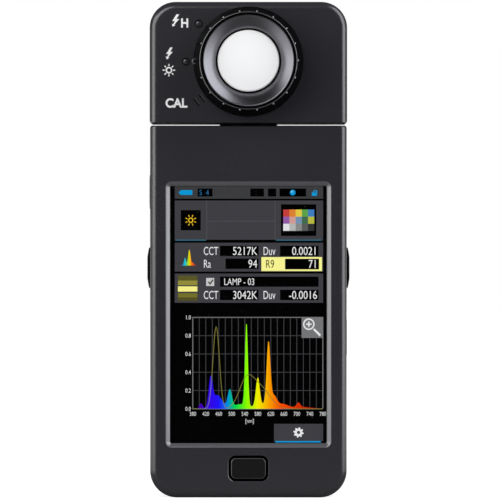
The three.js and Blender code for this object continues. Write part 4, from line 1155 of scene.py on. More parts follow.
def makeRing():
    edge, front, back = ring["edge"], ringBox.front, ringBox.back
    bore, wide, chamfer = ring["bore"], ring["counterbore"], ring["chamfer"]
    profile = [(bore, back), (ring["baseRadius"], back)]
    for step in range(roundness["edge"] + 1):
        angle = math.pi / 2 * step / roundness["edge"]
        radius = ring["frontRadius"] + edge * math.cos(angle)
        profile.append((radius, front + edge * (1 - math.sin(angle))))
    profile += [
        (wide + chamfer, front), (wide, front + chamfer), (wide, ring["shoulder"]),
        (bore, ring["shoulder"]), (bore, back),
    ]
    body = turned("select_ring_body", profile, alongY(0, ringHeight), facets["fine"])
    addFinishes(body, "deep_black_and_shade", "painted_edge_highlight")
    # The ring's front edge faces take a pale grey, a painted highlight
    for face in body.data.polygons:
        x, y, z = face.center
        if y < front + edge and ring["frontRadius"] < math.hypot(x, z - ringHeight):
            face.material_index = 1
    finished(body, "deep_black_and_shade", "ring", ["select_ring"])


def ribShape():
    made = bmesh.new()
    half, sink, steps = rib["width"] / 2, rib["sink"], rib["steps"]
    stations = [(rib["front"] + inward, share) for inward, share in rib["frontEnd"]]
    stations += [(rib["back"] - inward, share) for inward, share in rib["backEnd"]]
    rows = []
    for y, share in stations:
        base = flankRadius(y)
        row = [made.verts.new((base - sink, y, -half))]
        for step in range(steps + 1):
            angle = math.pi * step / steps
            out = base + rib["proud"] * share * math.sin(angle)
            row.append(made.verts.new((out, y, -half * math.cos(angle))))
        row.append(made.verts.new((base - sink, y, half)))
        rows.append(row)
    skinned(made, rows)
    return looseObject("rib", made)


def makeRibs():
    ribs = repeated("select_ring_ribs", ribShape(), rib["count"], turn=ribTurn,
                    centre=(0, 0, ringHeight), finish="deep_black_and_shade")
    finished(ribs, "deep_black_and_shade", "ring")


def makeNubs():
    # The bumps at the rib ends take a bright grey, painted glints
    made = bmesh.new()
    steps, sink = nub["steps"], nub["sink"]
    foot = flankRadius(rib["front"]) - sink
    rows = []
    for along in range(1, steps):
        across = math.pi * along / steps
        swell = math.sin(across)
        y = rib["front"] + nub["length"] * (1 - math.cos(across)) / 2
        row = []
        for around in range(steps + 1):
            angle = math.pi * around / steps
            out = foot + (sink + nub["rise"]) * swell * math.sin(angle)
            row.append(made.verts.new((-out, y, nub["width"] / 2 * swell * math.cos(angle))))
        rows.append(row)
    skinned(made, rows)
    bump = looseObject("nub", made)
    bump.data.transform(Matrix.Rotation(ribTurn, 4, "Y"))
    nubs = repeated("select_ring_nubs", bump, rib["count"] - nub["skipped"], turn=ribTurn,
                    centre=(0, 0, ringHeight), finish="nub")
    finished(nubs, "nub", "ring")


def makePointer():
    shape = pointerShape
    # The pointer is all pale grey, a painted highlight on the raised moulding
    profile = wireProfile(shape["radius"], shape["tube"], shape["along"], shape["steps"])
    place = alongY(-shape["reach"], ringHeight)
    finished(turned("ring_pointer", profile, place, facets["bore"]), "painted_edge_highlight", "ring")


def makeDish():
    radius, front, back = (dishBox.high - dishBox.low) / 2, dishBox.front, dishBox.back
    rim, depth = radius - dish["rim"], back - dish["collar"] - front
    band = bentBand(rim - dish["bore"], depth, dish["rimTilt"], dish["floorTilt"], dish["steps"])
    profile = [(radius, back), (dish["bore"], back)]
    profile += [(rim - across, front + down) for across, down in reversed(band)]
    profile += [(radius, front), (radius, back)]
    cone = turned("light_dish", profile, alongY(0, ringHeight), facets["fine"])
    finished(cone, "dish", "head", ["receptor_cone"])


def makeGasket():
    front, back, edge = gasketShape["front"], gasketShape["back"], gasketShape["edge"]
    inner, outer = gasketShape["inner"], dish["bore"] - gasketShape["gap"]
    profile = [
        (inner, back), (inner, front + edge), (inner + edge, front), (outer, front), (outer, back),
        (inner, back),
    ]
    gasket = turned("diffuser_gasket", profile, alongY(0, ringHeight))
    finished(gasket, "deep_black_and_shade", "head")


def makeDiffuser():
    shape, back = diffuserShape, extentOf("diffuser").back
    radius, edge, edgeY = shape["radius"], shape["edge"], shape["edgeY"]
    flange, flangeFront = radius + shape["flange"], back - shape["flangeThickness"]
    profile = []
    for step in range(shape["steps"] + 1):
        share = step / shape["steps"]
        profile.append(((radius - edge) * share, edgeY - shape["dome"] * (1 - share * share)))
    profile += [
        (radius, edgeY + edge), (radius, flangeFront), (flange, flangeFront), (flange, back), (0, back),
    ]
    dome = turned("diffuser_dome", profile, alongY(0, ringHeight), facets["dome"])
    finished(dome, "diffuser", "head", ["diffuser"])


# Marks and prints on the head
marks = {
    "circle": 23.1, "angles": (142.6, 180.0), "outer": 1.55, "tube": 0.3, "tubeSink": 0.08,
    "tubeSteps": 12, "dome": 0.85, "domeRise": 0.16, "domeFoot": 0.1, "domeSteps": 6,
    "barAngle": 218.0, "barLength": 3.3, "barGap": 2.4, "barWidth": 0.65, "barFoot": 0.2,
}
# Each bar is a dark strip, painted shade of an engraved groove, beside a narrower lighter strip, a painted
# highlight
barLooks = {
    "mark": {"shift": 0.0, "proud": 0.05, "share": 1.0},
    "bezel": {"shift": 0.8, "proud": 0.12, "share": 0.4},
}


def onMarkCircle(angle):
    turn = math.radians(angle)
    return marks["circle"] * math.cos(turn), ringHeight + marks["circle"] * math.sin(turn)


def makeIndexDot(number, angle):
    face, tube, steps = headFrontBox.front, marks["tube"], marks["domeSteps"]
    place = alongY(*onMarkCircle(angle))
    circle = wireProfile(marks["outer"] - tube, tube, face + marks["tubeSink"], marks["tubeSteps"])
    # The dark ring around each dot is painted shade standing in for a recessed groove
    finished(turned(f"index_circle_{number}", circle, place, facets["circle"]), "mark", "head")
    foot = face + marks["domeFoot"]
    dome = []
    for step in range(steps + 1):
        share = step / steps
        dome.append((marks["dome"] * share, face - marks["domeRise"] * (1 - share ** 2)))
    dome += [(marks["dome"], foot), (0, foot)]
    finished(turned(f"index_dot_{number}", dome, place, facets["screw"]), "shell", "head")


def makeIndexBars():
    face, turn = headFrontBox.front, math.radians(marks["barAngle"])
    centre = Vector(onMarkCircle(marks["barAngle"]))
    outward = Vector((math.cos(turn), math.sin(turn)))
    half = Vector((-outward.y, outward.x)) * marks["barLength"] / 2
    for number, side in enumerate((-1, 1), 1):
        middle = centre + outward * side * marks["barGap"] / 2
        for finish, look in barLooks.items():
            spot = middle - outward * marks["barWidth"] * look["shift"]
            width = outward * marks["barWidth"] / 2 * look["share"]
            corners = [
                spot - half - width, spot + half - width, spot + half + width, spot - half + width,
            ]
            name = f"index_bar_{number}_{finish}"
            bar = prism(name, corners, face - look["proud"], face + marks["barFoot"])
            finished(bar, finish, "head")


lettering = {"extrude": 0.5, "steps": 4, "weld": 0.0001, "printWeight": 0.05, "printDepth": 0.04}


def plainText(words, **settings):
    curve = bpy.data.curves.new("words", "FONT")
    curve.body = words
    for key, value in settings.items():
        setattr(curve, key, value)
    holder = linked("words", curve)
    graph = bpy.context.evaluated_depsgraph_get()
    mesh = bpy.data.meshes.new_from_object(holder.evaluated_get(graph))
    bpy.data.objects.remove(holder)
    return mesh


letterEdges = [vertex.co.y for vertex in plainText("H").vertices]
letterShare = max(letterEdges) - min(letterEdges)


def textMesh(words, height, squeeze, weight=0.0, align="LEFT"):
    mesh = plainText(
        words, size=height / letterShare, align_x=align, extrude=lettering["extrude"],
        offset=weight * height, resolution_u=lettering["steps"],
    )
    mesh.transform(Matrix.Diagonal((squeeze, 1, 1, 1)))
    return mesh


def printedWords(name, values):
    height = values["height"]
    mesh = textMesh(values["words"], height, values["squeeze"], lettering["printWeight"], "CENTER")
    mesh.transform(Matrix((
        (1, 0, 0, values["x"]), (0, 0, lettering["printDepth"], headFrontBox.front),
        (0, 1, 0, values["z"] - height / 2), (0, 0, 0, 1),
    )))
    made = bmesh.new()
    made.from_mesh(mesh)
    bmesh.ops.remove_doubles(made, verts=made.verts, dist=lettering["weld"])
    finished(looseObject(name, made), "print", "head")


boltShares = [
    (0.62, 1.0), (0.12, 0.45), (0.42, 0.45), (0.22, 0.2), (0.06, 0.24), (0.2, 0.0), (0.52, 0.14),
    (0.36, 0.17), (0.94, 0.62), (0.62, 0.62), (0.94, 1.0),
]
boltSlimness = 0.68
sunShares = {"rays": 8, "rayWidth": 0.2, "rayStart": 0.66, "inner": 0.3, "outer": 0.54}


def printedBolt(name, values):
    face, half, height = headFrontBox.front, lettering["printDepth"] / 2, values["height"]
    points = []
    for across, up in boltShares:
        shift = (across - 0.5) * height * boltSlimness
        points.append((values["x"] + shift, values["z"] + (up - 0.5) * height))
    finished(prism(name, points, face - half, face + half), "print", "head")


def printedSun(name, values):
    x, z, radius = values["x"], values["z"], values["height"] / 2
    face, half = headFrontBox.front, lettering["printDepth"] / 2
    front, back, side = face - half, face + half, radius * sunShares["rayWidth"] / 2
    ray = block("ray", radius * sunShares["rayStart"], radius, -half, half, -side, side)
    rays = repeated(name + "_rays", ray, sunShares["rays"], turn=2 * math.pi / sunShares["rays"],
                    centre=(x, face, z), finish="print")
    finished(rays, "print", "head")
    inner, outer = radius * sunShares["inner"], radius * sunShares["outer"]
    profile = [(inner, front), (outer, front), (outer, back), (inner, back), (inner, front)]
    finished(turned(name + "_disc", profile, alongY(x, z), facets["screw"]), "print", "head")


prints = {
    "bolt_print_1": {"draw": printedBolt, "x": -26.9, "z": 176.0, "height": 4.6},
    "filter_print": {
        "draw": printedWords, "words": "H", "x": -23.5, "z": 175.1, "height": 3.1, "squeeze": 0.9,
    },
    "bolt_print_2": {"draw": printedBolt, "x": -29.2, "z": 163.9, "height": 4.4},
    "sun_print": {"draw": printedSun, "x": -29.3, "z": 157.7, "height": 4.6},
    "calibration_print": {
        "draw": printedWords, "words": "CAL", "x": -26.6, "z": 145.6, "height": 3.15, "squeeze": 0.93,
    },
}

# Display, laid out in columns and lines from its upper left corner
display = {
    "half": 27.4, "shift": 0.2, "high": 114.9, "columns": 148.3, "layer": 0.04, "base": 0.02,
    "back": 0.005, "weld": 0.00001,
}
unit = 2 * display["half"] / display["columns"]
hues = {
    "black": (2, 2, 2), "dim": (40, 104, 150), "panel": (65, 64, 69), "status": (62, 62, 64),
    "edge": (92, 92, 96), "white": (236, 236, 236), "pale": (205, 205, 205), "blue": (15, 153, 216),
    "sky": (150, 214, 240), "teal": (52, 105, 124), "yellow": (255, 250, 150), "ink": (60, 56, 20),
    "lamp": (250, 205, 40), "grid": (66, 65, 68), "line": (120, 120, 120), "button": (120, 120, 122),
    "olive": (126, 122, 52),
}

# Left, top, width, height, layer and hue
displayBoxes = {
    "ground": (-4.4, -0.2, 157.2, 256.6, 0, "black"),
    "status bar": (0, 0, 148.3, 12.4, 1, "status"),
    "mode": (22.9, 2.2, 14.9, 8.0, 2, "black"),
    "signal": (75.5, 2.2, 13.7, 8.0, 2, "black"),
    "sound": (93.2, 2.2, 8.2, 8.0, 2, "black"),
    "places": (104.7, 2.2, 26.6, 8.0, 2, "black"),
    "lock": (137.0, 6.2, 5.2, 3.2, 3, "blue"),
    "lamp tab": (0, 14.2, 31.8, 39.8, 1, "panel"),
    "upper tab": (32.2, 14.2, 67.8, 20.4, 1, "panel"),
    "lower tab": (32.2, 35.0, 67.8, 18.4, 1, "panel"),
    "swatch tab": (100.4, 14.2, 47.9, 39.8, 1, "panel"),
    "left edge": (31.8, 14.2, 0.4, 39.0, 1, "edge"),
    "right edge": (100.0, 14.2, 0.4, 39.0, 1, "edge"),
    "middle edge": (32.2, 34.6, 67.8, 0.4, 1, "edge"),
    "lamp tab line": (0.6, 53.2, 30.8, 1.2, 2, "teal"),
    "swatch tab line": (101.2, 53.2, 45.6, 1.2, 2, "teal"),
    "lamp icon": (6.0, 23.8, 20.0, 20.2, 2, "black"),
    "swatch icon": (106.2, 18.0, 35.2, 31.6, 2, "black"),
    "reading panel": (0, 56.4, 148.3, 28.8, 1, "panel"),
    "chosen reading": (86.6, 70.7, 60.6, 14.0, 2, "yellow"),
    "chosen value": (110.2, 72.4, 34.0, 10.6, 3, "black"),
    "lamp panel": (0, 87.2, 148.3, 29.2, 1, "panel"),
    "bar 1": (3.2, 89.2, 19.4, 5.0, 2, (92, 88, 40)),
    "bar 2": (3.2, 94.2, 19.4, 4.6, 2, (150, 145, 60)),
    "bar 3": (3.2, 100.0, 19.4, 5.2, 2, (255, 246, 140)),
    "bar 4": (3.2, 106.8, 19.4, 4.2, 2, (120, 116, 44)),
    "bar 5": (3.2, 111.0, 19.4, 3.4, 2, (84, 80, 36)),
    "tick box": (31.4, 91.6, 8.0, 8.0, 2, "pale"),
    "lamp name": (45.2, 90.2, 98.5, 10.2, 2, "black"),
    "lens button": (126.8, 130.9, 21.2, 20.6, 3, "button"),
    "lens bar": (131.2, 137.1, 5.6, 1.4, 4, "white"),
    "lens post": (133.3, 135.0, 1.4, 5.6, 4, "white"),
    "gear button": (99.2, 237.4, 49.1, 17.2, 1, "panel"),
    "gear line": (100.4, 254.6, 45.6, 1.4, 2, "blue"),
}

# Centre, radius, steps, layer and hue
displayDiscs = {
    "globe": (117.9, 6.2, 2.8, 20, 3, "blue"),
    "globe shine": (117.2, 5.4, 0.9, 12, 4, "sky"),
    "lamp": (16.0, 33.9, 2.6, 20, 3, "lamp"),
    "lamp centre": (16.0, 33.9, 1.7, 20, 4, "black"),
    "gear hole": (123.7, 246.0, 1.6, 20, 3, "panel"),
}

# Layer, hue and corners
displayShapes = {
    "arrow": (2, "blue", [(3.6, 6.2), (6.2, 3.8), (17.6, 3.8), (17.6, 8.6), (6.2, 8.6)]),
    "tick": (3, "ink", [
        (33.0, 95.8), (34.2, 94.8), (35.2, 96.6), (37.8, 92.8), (38.9, 93.6), (35.4, 98.6),
    ]),
    "lens handle": (4, "white", [(138.2, 143.4), (139.7, 141.9), (146.2, 148.4), (144.7, 149.9)]),
}
displayWords = {
    "S  4": {"x": 24.4, "base": 8.8, "height": 5.2, "level": 3, "hue": "dim", "squeeze": 0.85},
    "R9": {"x": 90.6, "base": 81.6, "height": 8.0, "level": 3, "hue": "ink", "squeeze": 0.7},
    "71": {"x": 142.6, "base": 81.6, "height": 8.0, "level": 4, "align": "RIGHT", "squeeze": 0.78},
    "LAMP - 03": {"x": 49.0, "base": 98.6, "height": 6.6, "level": 3, "squeeze": 0.74},
}

# Label, value, label's left, box's left, right and top
readings = [
    ("CCT", "5217K", 28.6, 45.2, 83.8, 59.4),
    ("Duv", "0.0021", 88.2, 105.2, 143.7, 59.4),
    ("Ra", "94", 28.6, 50.7, 83.8, 72.2),
    ("CCT", "3042K", 28.6, 45.2, 83.8, 103.4),
    ("Duv", "-0.0016", 88.2, 105.2, 143.7, 103.4),
]
readingShape = {
    "height": 10.4, "base": 9.2, "letters": 8.0, "margin": 1.2, "labelSqueeze": 0.63, "valueSqueeze": 0.8,
}
swatches = {"left": 108.4, "top": 23.2, "width": 6.2, "height": 7.1}
swatchRows = [
    [(201, 66, 60), (226, 134, 52), (232, 205, 70), (96, 166, 76), (66, 128, 196)],
    [(150, 96, 170), (214, 160, 150), (120, 150, 180), (70, 110, 80), (190, 190, 70)],
    [(232, 232, 232), (186, 186, 186), (140, 140, 140), (94, 94, 94), (52, 52, 52)],
]
lampRays = {"centre": (16.0, 33.9), "start": 3.6, "end": 5.6, "half": 0.38, "count": 8}
lockArch = {"x": 140.4, "y": 6.0, "outer": 2.3, "inner": 1.3, "steps": 8}
lens = {"x": 134.0, "y": 137.8, "outer": 5.8, "inner": 4.4, "steps": 28}
gear = {"x": 123.7, "y": 246.0, "teeth": 8, "outer": 5.2, "body": 3.9}
peakIcon = {"left": 6.0, "bottom": 79.2, "slices": 40, "foot": 0.3}

# Peaks are place, height and spread; each colour stands at its place
iconPeaks = [(4.3, 7.6, 1.3), (8.6, 15.6, 1.7), (12.2, 2.6, 1.2)]
iconColours = [
    (0, (60, 120, 200)), (4, (20, 190, 225)), (7, (160, 220, 60)), (9, (255, 214, 0)),
    (11, (250, 110, 20)), (16, (190, 30, 30)),
]
filledPeaks = [
    (405, 0.06, 7), (435, 0.3, 8), (455, 0.15, 22), (494, 0.2, 9), (525, 0.05, 25), (545, 0.92, 6),
    (580, 0.3, 8), (590, 0.05, 30), (613, 0.7, 8), (630, 0.12, 12), (655, 0.05, 24), (705, 0.05, 8),
    (715, 0.02, 45),
]
thinPeaks = [(452, 0.9, 14), (545, 0.3, 32), (590, 0.22, 40)]
rainbow = [
    (380, (70, 0, 120)), (420, (66, 0, 220)), (460, (30, 20, 255)), (485, (0, 140, 235)),
    (510, (0, 220, 80)), (545, (140, 255, 0)), (580, (250, 245, 0)), (612, (255, 170, 0)),
    (650, (255, 80, 0)), (780, (150, 10, 0)),
]
graph = {
    "left": 18.0, "right": 148.0, "top": 131.0, "bottom": 222.4, "first": 380, "last": 780,
    "columns": 20, "rows": 5, "steps": 200, "gridLine": 0.64, "frameLine": 0.8, "curveHalf": 0.3,
    "least": 0.004, "labelStep": 40, "rowGap": 1.8, "rowDrop": 2.0, "columnDrop": 7.0,
    "unitX": 74.8, "unitBase": 236.4, "rowSqueeze": 0.8, "columnSqueeze": 0.78,
}
graphLetters = {"height": 4.0, "level": 2, "weight": -0.01}


def newSheet():
    made = bmesh.new()
    return {"made": made, "lit": made.loops.layers.float_color.new("lit")}


def finishSheet(sheet, name):
    made = sheet["made"]
    bmesh.ops.remove_doubles(made, verts=made.verts, dist=display["weld"])
    finished(looseObject(name, made), "lit_screen", "housing", sharpAngle=0)


def onScreen(x, y):
    return display["shift"] - display["half"] + x * unit, display["high"] - y * unit


def paint(sheet, faces, hue):
    shade = linear(*hues.get(hue, hue))
    for face in faces:
        for loop in face.loops:
            loop[sheet["lit"]] = shade


def addShape(sheet, points, level, hue):
    made = sheet["made"]
    back = lcdBox.front - display["back"]
    front = back - display["base"] - level * display["layer"]
    places = [onScreen(x, y) for x, y in points]
    rows = [[made.verts.new((x, y, z)) for x, z in places] for y in (front, back)]
    paint(sheet, skinned(made, rows), hue)


def addBox(sheet, x, y, width, height, level, hue):
    right, bottom = x + width, y + height
    addShape(sheet, [(x, y), (right, y), (right, bottom), (x, bottom)], level, hue)


def addWords(sheet, words, x, base, height, level, squeeze, hue="white", align="LEFT", weight=0.0):
    mesh = textMesh(words, height * unit, squeeze, weight, align)
    left, floor = onScreen(x, base)
    back, depth = lcdBox.front - display["back"], display["base"] + level * display["layer"]
    made = sheet["made"]
    places = []
    for vertex in mesh.vertices:
        across, up, out = vertex.co
        y = back - depth * (lettering["extrude"] + out)
        places.append(made.verts.new((left + across, y, floor + up)))
    faces = []
    for polygon in mesh.polygons:
        try:
            faces.append(made.faces.new([places[index] for index in polygon.vertices]))
        except ValueError:
            continue
    paint(sheet, faces, hue)
    bpy.data.meshes.remove(mesh)


def arc(x, y, radius, turn, steps):
    angles = [turn * step / steps for step in range(steps + 1)]
    return [(x + radius * math.cos(angle), y + radius * math.sin(angle)) for angle in angles]


def circle(x, y, radius, steps):
    return arc(x, y, radius, 2 * math.pi, steps)[:-1]


def addReading(sheet, label, value, labelX, left, right, top):
    shape = readingShape
    base, letters = top + shape["base"], shape["letters"]
    addWords(sheet, label, labelX, base, letters, 2, shape["labelSqueeze"])
    addBox(sheet, left, top, right - left, shape["height"], 2, "black")
    end = right - shape["margin"]
    addWords(sheet, value, end, base, letters, 3, shape["valueSqueeze"], align="RIGHT")


def addSwatches(sheet):
    width, height = swatches["width"], swatches["height"]
    for row, colours in enumerate(swatchRows):
        for column, colour in enumerate(colours):
            x, y = swatches["left"] + column * width, swatches["top"] + row * height
            addBox(sheet, x, y, width, height, 3, colour)


def addLampRays(sheet):
    centre, count = Vector(lampRays["centre"]), lampRays["count"]
    for step in range(count):
        angle = 2 * math.pi * (step + 0.5) / count
        outward = Vector((math.cos(angle), math.sin(angle)))
        side = Vector((-outward.y, outward.x)) * lampRays["half"]
        near, far = centre + outward * lampRays["start"], centre + outward * lampRays["end"]
        addShape(sheet, [near + side, far + side, far - side, near - side], 3, "lamp")


def addLockArch(sheet):
    x, y, steps = lockArch["x"], lockArch["y"], lockArch["steps"]
    outside = arc(x, y, lockArch["outer"], -math.pi, steps)
    inside = arc(x, y, lockArch["inner"], -math.pi, steps)
    addShape(sheet, outside + inside[::-1], 3, "blue")


def addLensRing(sheet):
    x, y, steps = lens["x"], lens["y"], lens["steps"]
    outside = arc(x, y, lens["outer"], 2 * math.pi, steps)
    inside = arc(x, y, lens["inner"], 2 * math.pi, steps)
    for index in range(steps):
        corners = [outside[index], outside[index + 1], inside[index + 1], inside[index]]
        addShape(sheet, corners, 4, "white")


def addGear(sheet):
    parts = gear["teeth"] * 4
    points = []
    for step in range(parts):
        angle = 2 * math.pi * (step + 0.5) / parts
        radius = gear["outer"] if step % 4 < 2 else gear["body"]
        points.append((gear["x"] + radius * math.cos(angle), gear["y"] + radius * math.sin(angle)))
    addShape(sheet, points, 2, "white")


def curveAt(peaks, place):
    return sum(high * math.exp(-(((place - middle) / wide) ** 2)) for middle, high, wide in peaks)


def blended(stops, place):
    for (low, first), (high, second) in zip(stops, stops[1:]):
        if place <= high:
            share = (place - low) / (high - low)
            return tuple(a + (b - a) * share for a, b in zip(first, second))
    return stops[-1][1]


def addPeakIcon(sheet):
    left, bottom = peakIcon["left"], peakIcon["bottom"]
    step = iconColours[-1][0] / peakIcon["slices"]
    for index in range(peakIcon["slices"]):
        ends = [index * step, index * step + step]
        tops = [(left + x, bottom - curveAt(iconPeaks, x) - peakIcon["foot"]) for x in ends]
        corners = [*tops, (left + ends[1], bottom), (left + ends[0], bottom)]
        addShape(sheet, corners, 2, blended(iconColours, ends[0] + step / 2))


def onGraph(wavelength, value):
    across = (wavelength - graph["first"]) / (graph["last"] - graph["first"])
    x = graph["left"] + across * (graph["right"] - graph["left"])
    return x, graph["bottom"] - value * (graph["bottom"] - graph["top"])


def addGrid(sheet):
    left, top, line, thick = graph["left"], graph["top"], graph["gridLine"], graph["frameLine"]
    width, height = graph["right"] - left, graph["bottom"] - top
    for column in range(1, graph["columns"]):
        x = left + width * column / graph["columns"]
        addBox(sheet, x - line / 2, top, line, height, 1, "grid")
    for row in range(1, graph["rows"]):
        y = top + height * row / graph["rows"]
        addBox(sheet, left, y - line / 2, width, line, 1, "grid")
    for y in (top, graph["bottom"]):
        addBox(sheet, left - thick / 2, y - thick / 2, width, thick, 2, "line")
    for x in (left, graph["right"]):
        addBox(sheet, x - thick / 2, top - thick / 2, thick, height, 2, "line")


def addFilledCurve(sheet, places):
    for start, end in zip(places, places[1:]):
        values = [curveAt(filledPeaks, place) for place in (start, end)]
        if max(values) < graph["least"]:
            continue
        tops = [onGraph(start, values[0]), onGraph(end, values[1])]
        corners = [*tops, (tops[1][0], graph["bottom"]), (tops[0][0], graph["bottom"])]
        addShape(sheet, corners, 3, blended(rainbow, (start + end) / 2))


def addThinCurve(sheet, places):
    points = [Vector(onGraph(place, min(curveAt(thinPeaks, place), 1.0))) for place in places]
    upper, lower = [], []
    for index, point in enumerate(points):
        ahead = points[min(index + 1, len(points) - 1)] - points[max(index - 1, 0)]
        side = Vector((-ahead.y, ahead.x)).normalized() * graph["curveHalf"]
        upper.append(point + side)
        lower.append(point - side)
    for index in range(len(points) - 1):
        corners = [upper[index], upper[index + 1], lower[index + 1], lower[index]]
        addShape(sheet, corners, 4, "olive")


def addGraphLetters(sheet):
    for index in range(graph["rows"] + 1):
        value = index / graph["rows"]
        x, y = onGraph(graph["first"], value)
        addWords(sheet, f"{value:.1f}", x - graph["rowGap"], y + graph["rowDrop"],
                 squeeze=graph["rowSqueeze"], align="RIGHT", **graphLetters)
    for wavelength in range(graph["first"], graph["last"] + 1, graph["labelStep"]):
        x, y = onGraph(wavelength, 0)
        addWords(sheet, str(wavelength), x, y + graph["columnDrop"],
                 squeeze=graph["columnSqueeze"], align="CENTER", **graphLetters)
    addWords(sheet, "[nm]", graph["unitX"], graph["unitBase"],
             squeeze=graph["rowSqueeze"], align="CENTER", **graphLetters)


def makePanels():
    sheet = newSheet()
    for values in displayBoxes.values():
        addBox(sheet, *values)
    for x, y, radius, steps, level, hue in displayDiscs.values():
        addShape(sheet, circle(x, y, radius, steps), level, hue)
    for level, hue, points in displayShapes.values():
        addShape(sheet, points, level, hue)
    for words, values in displayWords.items():
        addWords(sheet, words, **values)
    for values in readings:
        addReading(sheet, *values)
    for add in (addSwatches, addLampRays, addLockArch, addLensRing, addGear, addPeakIcon):
        add(sheet)
    finishSheet(sheet, "display_panels")


def makeGraph():
    sheet = newSheet()
    step = (graph["last"] - graph["first"]) / graph["steps"]
    places = [graph["first"] + index * step for index in range(graph["steps"] + 1)]
    addGrid(sheet)
    addFilledCurve(sheet, places)
    addThinCurve(sheet, places)
    addGraphLetters(sheet)
    finishSheet(sheet, "display_graph")


def makeGlass():
    edge, front, back = window["glassEdge"], glassBox.front, glassBox.back
    stations = [(front, edge), (front + edge, 0), (back - edge, 0), (back, edge)]
    panel = loft("touch_panel", grown(windowOutline, window["lap"]), stations)
    finished(panel, "glass", "housing", ["touch_glass"])


cells = {"battery_cell_lower": 1, "battery_cell_upper": -1}
cellShape = {"length": 50.5, "edge": 0.6, "nubRadius": 2.7, "nubLength": 1.2, "nubEdge": 0.3}


def makeCell(node, direction):
    box = extentOf(node)
    _, y, z = middleOf(node)
    radius, half, edge = (box.high - box.low) / 2, cellShape["length"] / 2, cellShape["edge"]
    shoulder, tip, tipEdge = half - cellShape["nubLength"], cellShape["nubRadius"], cellShape["nubEdge"]
    profile = [
        (0, -half), (radius - edge, -half), (radius, edge - half), (radius, shoulder - edge),
        (radius - edge, shoulder), (tip, shoulder), (tip, half - tipEdge), (tip - tipEdge, half),
        (0, half),
    ]
    profile = [(distance, along * direction) for distance, along in profile]
    cell = turned(node + "_fine", profile, alongX(y, z), facets["hole"])
    finished(cell, "cell", "housing", [node])


innerFinishes = {
    "screen": ["lcd_module"],
    "aluminium": ["display_chassis", "receptor_housing", "optical_bench", "bench_cover", "entrance_slit"],
    "board": ["main_board", "head_board"],
    "dark_plastic": [
        "power_switch", "left_measure_switch", "right_measure_switch", "memory_switch", "battery_holder",
        "board_cable_header", "head_cable_socket", "line_sensor",
    ],
    "steel": [
        "battery_contact_bridge", "battery_contact_negative", "battery_contact_positive", "usb_connector",
        "neck_washer", "ring_drive_pin_upper", "ring_drive_pin_lower",
    ],
    "cable": ["neck_cable"],
    "black_plastic": ["shutter_disc"],
    "mirror": ["fold_mirror", "diffraction_grating"],
    "glass": ["light_guide", "grey_filter"],
}


def paintInner():
    for finish, nodes in innerFinishes.items():
        for node in nodes:
            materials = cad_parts[node].data.materials
            materials.clear()
            materials.append(finishes[finish])


# Floor and world, in metres; each four is a start, an end and the values there
# leftGlow and rightGlow set the floor's painted glow, and dark its painted shade, which only glossy rays see
floorLook = {
    "half": 6.0, "roughness": 0.9, "ior": 1.1, "albedo": 0.5, "near": -0.3, "behind": 0.3,
    "level": (0.1, 1.5, 0.8, 1.0), "leftGlow": (-0.08, -0.22, 0.0, 1.2),
    "rightGlow": (0.14, 0.3, 0.0, 1.25), "dark": (-0.6, -0.15, -0.49, -0.3),
}
worldLook = {"fill": 0.28, "white": 1.0, "dark": 0.07, "behind": (0.975, 0.995), "front": (-1.0, -0.8)}
plainWhite = (1, 1, 1, 1)


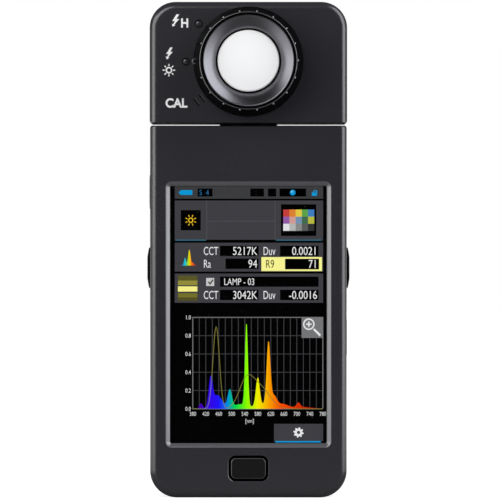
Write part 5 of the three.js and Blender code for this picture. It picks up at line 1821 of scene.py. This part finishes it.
# The floor is white to the camera and behind the part. To glossy rays it is otherwise pale, with painted
# glow at the left and right near the part, a painted reflection of light, and darker in front, a painted
# shade
def makeFloor():
    look, half = floorLook, floorLook["half"]
    mesh = bpy.data.meshes.new("floor")
    corners = [(-half, -half, 0), (half, -half, 0), (half, half, 0), (-half, half, 0)]
    mesh.from_pydata(corners, [], [range(len(corners))])
    values = {"Roughness": look["roughness"], "IOR": look["ior"], "Emission Color": plainWhite}
    material, tree, shader = startMaterial("floor", values)
    path = put(tree, "ShaderNodeLightPath").outputs
    place = objectPlace(tree)
    sides = axes(tree, place)
    glossy = path["Is Glossy Ray"]
    behind = sums(tree, "GREATER_THAN", sides["Y"], look["behind"])
    before = sums(tree, "LESS_THAN", sides["Y"], look["behind"])
    near = sums(tree, "MULTIPLY", sums(tree, "GREATER_THAN", sides["Y"], look["near"]), before)
    indirect = sums(tree, "MAXIMUM", glossy, path["Is Transmission Ray"])
    seen = sums(tree, "MAXIMUM", path["Is Camera Ray"], sums(tree, "MULTIPLY", indirect, behind))
    distance = put(tree, "ShaderNodeVectorMath", {0: place}, operation="LENGTH").outputs["Value"]
    level = mapped(tree, distance, *look["level"])
    # Painted glow: near the part, glossy rays see the floor glow at its left and right
    glows = [mapped(tree, sides["X"], *look[key]) for key in ("leftGlow", "rightGlow")]
    studio = sums(tree, "MULTIPLY", near, glossy)
    paintedGlow = sums(tree, "MULTIPLY", studio, sums(tree, "ADD", *glows))
    # Painted shade: glossy rays see the floor darker in front of the part
    front = sums(tree, "MULTIPLY", glossy, before)
    dark = mapped(tree, sides["Y"], *look["dark"])
    wire(tree, shader.inputs, {
        "Emission Strength": sums(tree, "MULTIPLY_ADD", seen, level, paintedGlow),
        "Base Color": sums(tree, "MULTIPLY_ADD", front, dark, look["albedo"]),
    })
    mesh.materials.append(material)
    linked("floor", mesh)


def setWorld():
    look, fill = worldLook, worldLook["fill"]
    world = bpy.data.worlds.new("studio")
    world.use_nodes = True
    scene.world = world
    tree = world.node_tree
    path = put(tree, "ShaderNodeLightPath").outputs
    direction = put(tree, "ShaderNodeTexCoord").outputs["Generated"]
    ahead = axes(tree, direction)["Y"]
    indirect = sums(tree, "MAXIMUM", path["Is Glossy Ray"], path["Is Transmission Ray"])
    mirrored = sums(tree, "MULTIPLY", indirect, mapped(tree, ahead, *look["behind"]))
    white = sums(tree, "MAXIMUM", path["Is Camera Ray"], mirrored)
    dark = mapped(tree, ahead, *look["front"], -fill, look["dark"] - fill)
    glossy = sums(tree, "MULTIPLY_ADD", indirect, dark, fill)
    shade = sums(tree, "MULTIPLY_ADD", white, look["white"] - fill, glossy)
    background = tree.nodes["Background"].inputs
    background["Color"].default_value = plainWhite
    wire(tree, background, {"Strength": sums(tree, "MINIMUM", shade, look["white"])})


setCamera()
for name, values in lampValues.items():
    softbox(name, values)
setWorld()
makeFloor()
print("camera, lamps and floor set")
makeFrontCover()
makeRearCover()
makeHeadFront()
makeHeadRear()
print("covers made")
makePowerKey()
for node in sideKeys:
    makeSideKey(node)
makeLid()
makePortCover()
makeTripodInsert()
makeStrapPin()
makeScrews(bodyScrews, "housing")
makeScrews(headScrews, "head")
makeNeck()
print("keys and hardware made")
makeRing()
makeRibs()
makeNubs()
makePointer()
makeDish()
makeGasket()
makeDiffuser()
for number, angle in enumerate(marks["angles"], 1):
    makeIndexDot(number, angle)
makeIndexBars()
for name, values in prints.items():
    values["draw"](name, values)
print("head pieces made")
makeGlass()
makePanels()
makeGraph()
for node, direction in cells.items():
    makeCell(node, direction)
paintInner()
print("display and cells made")
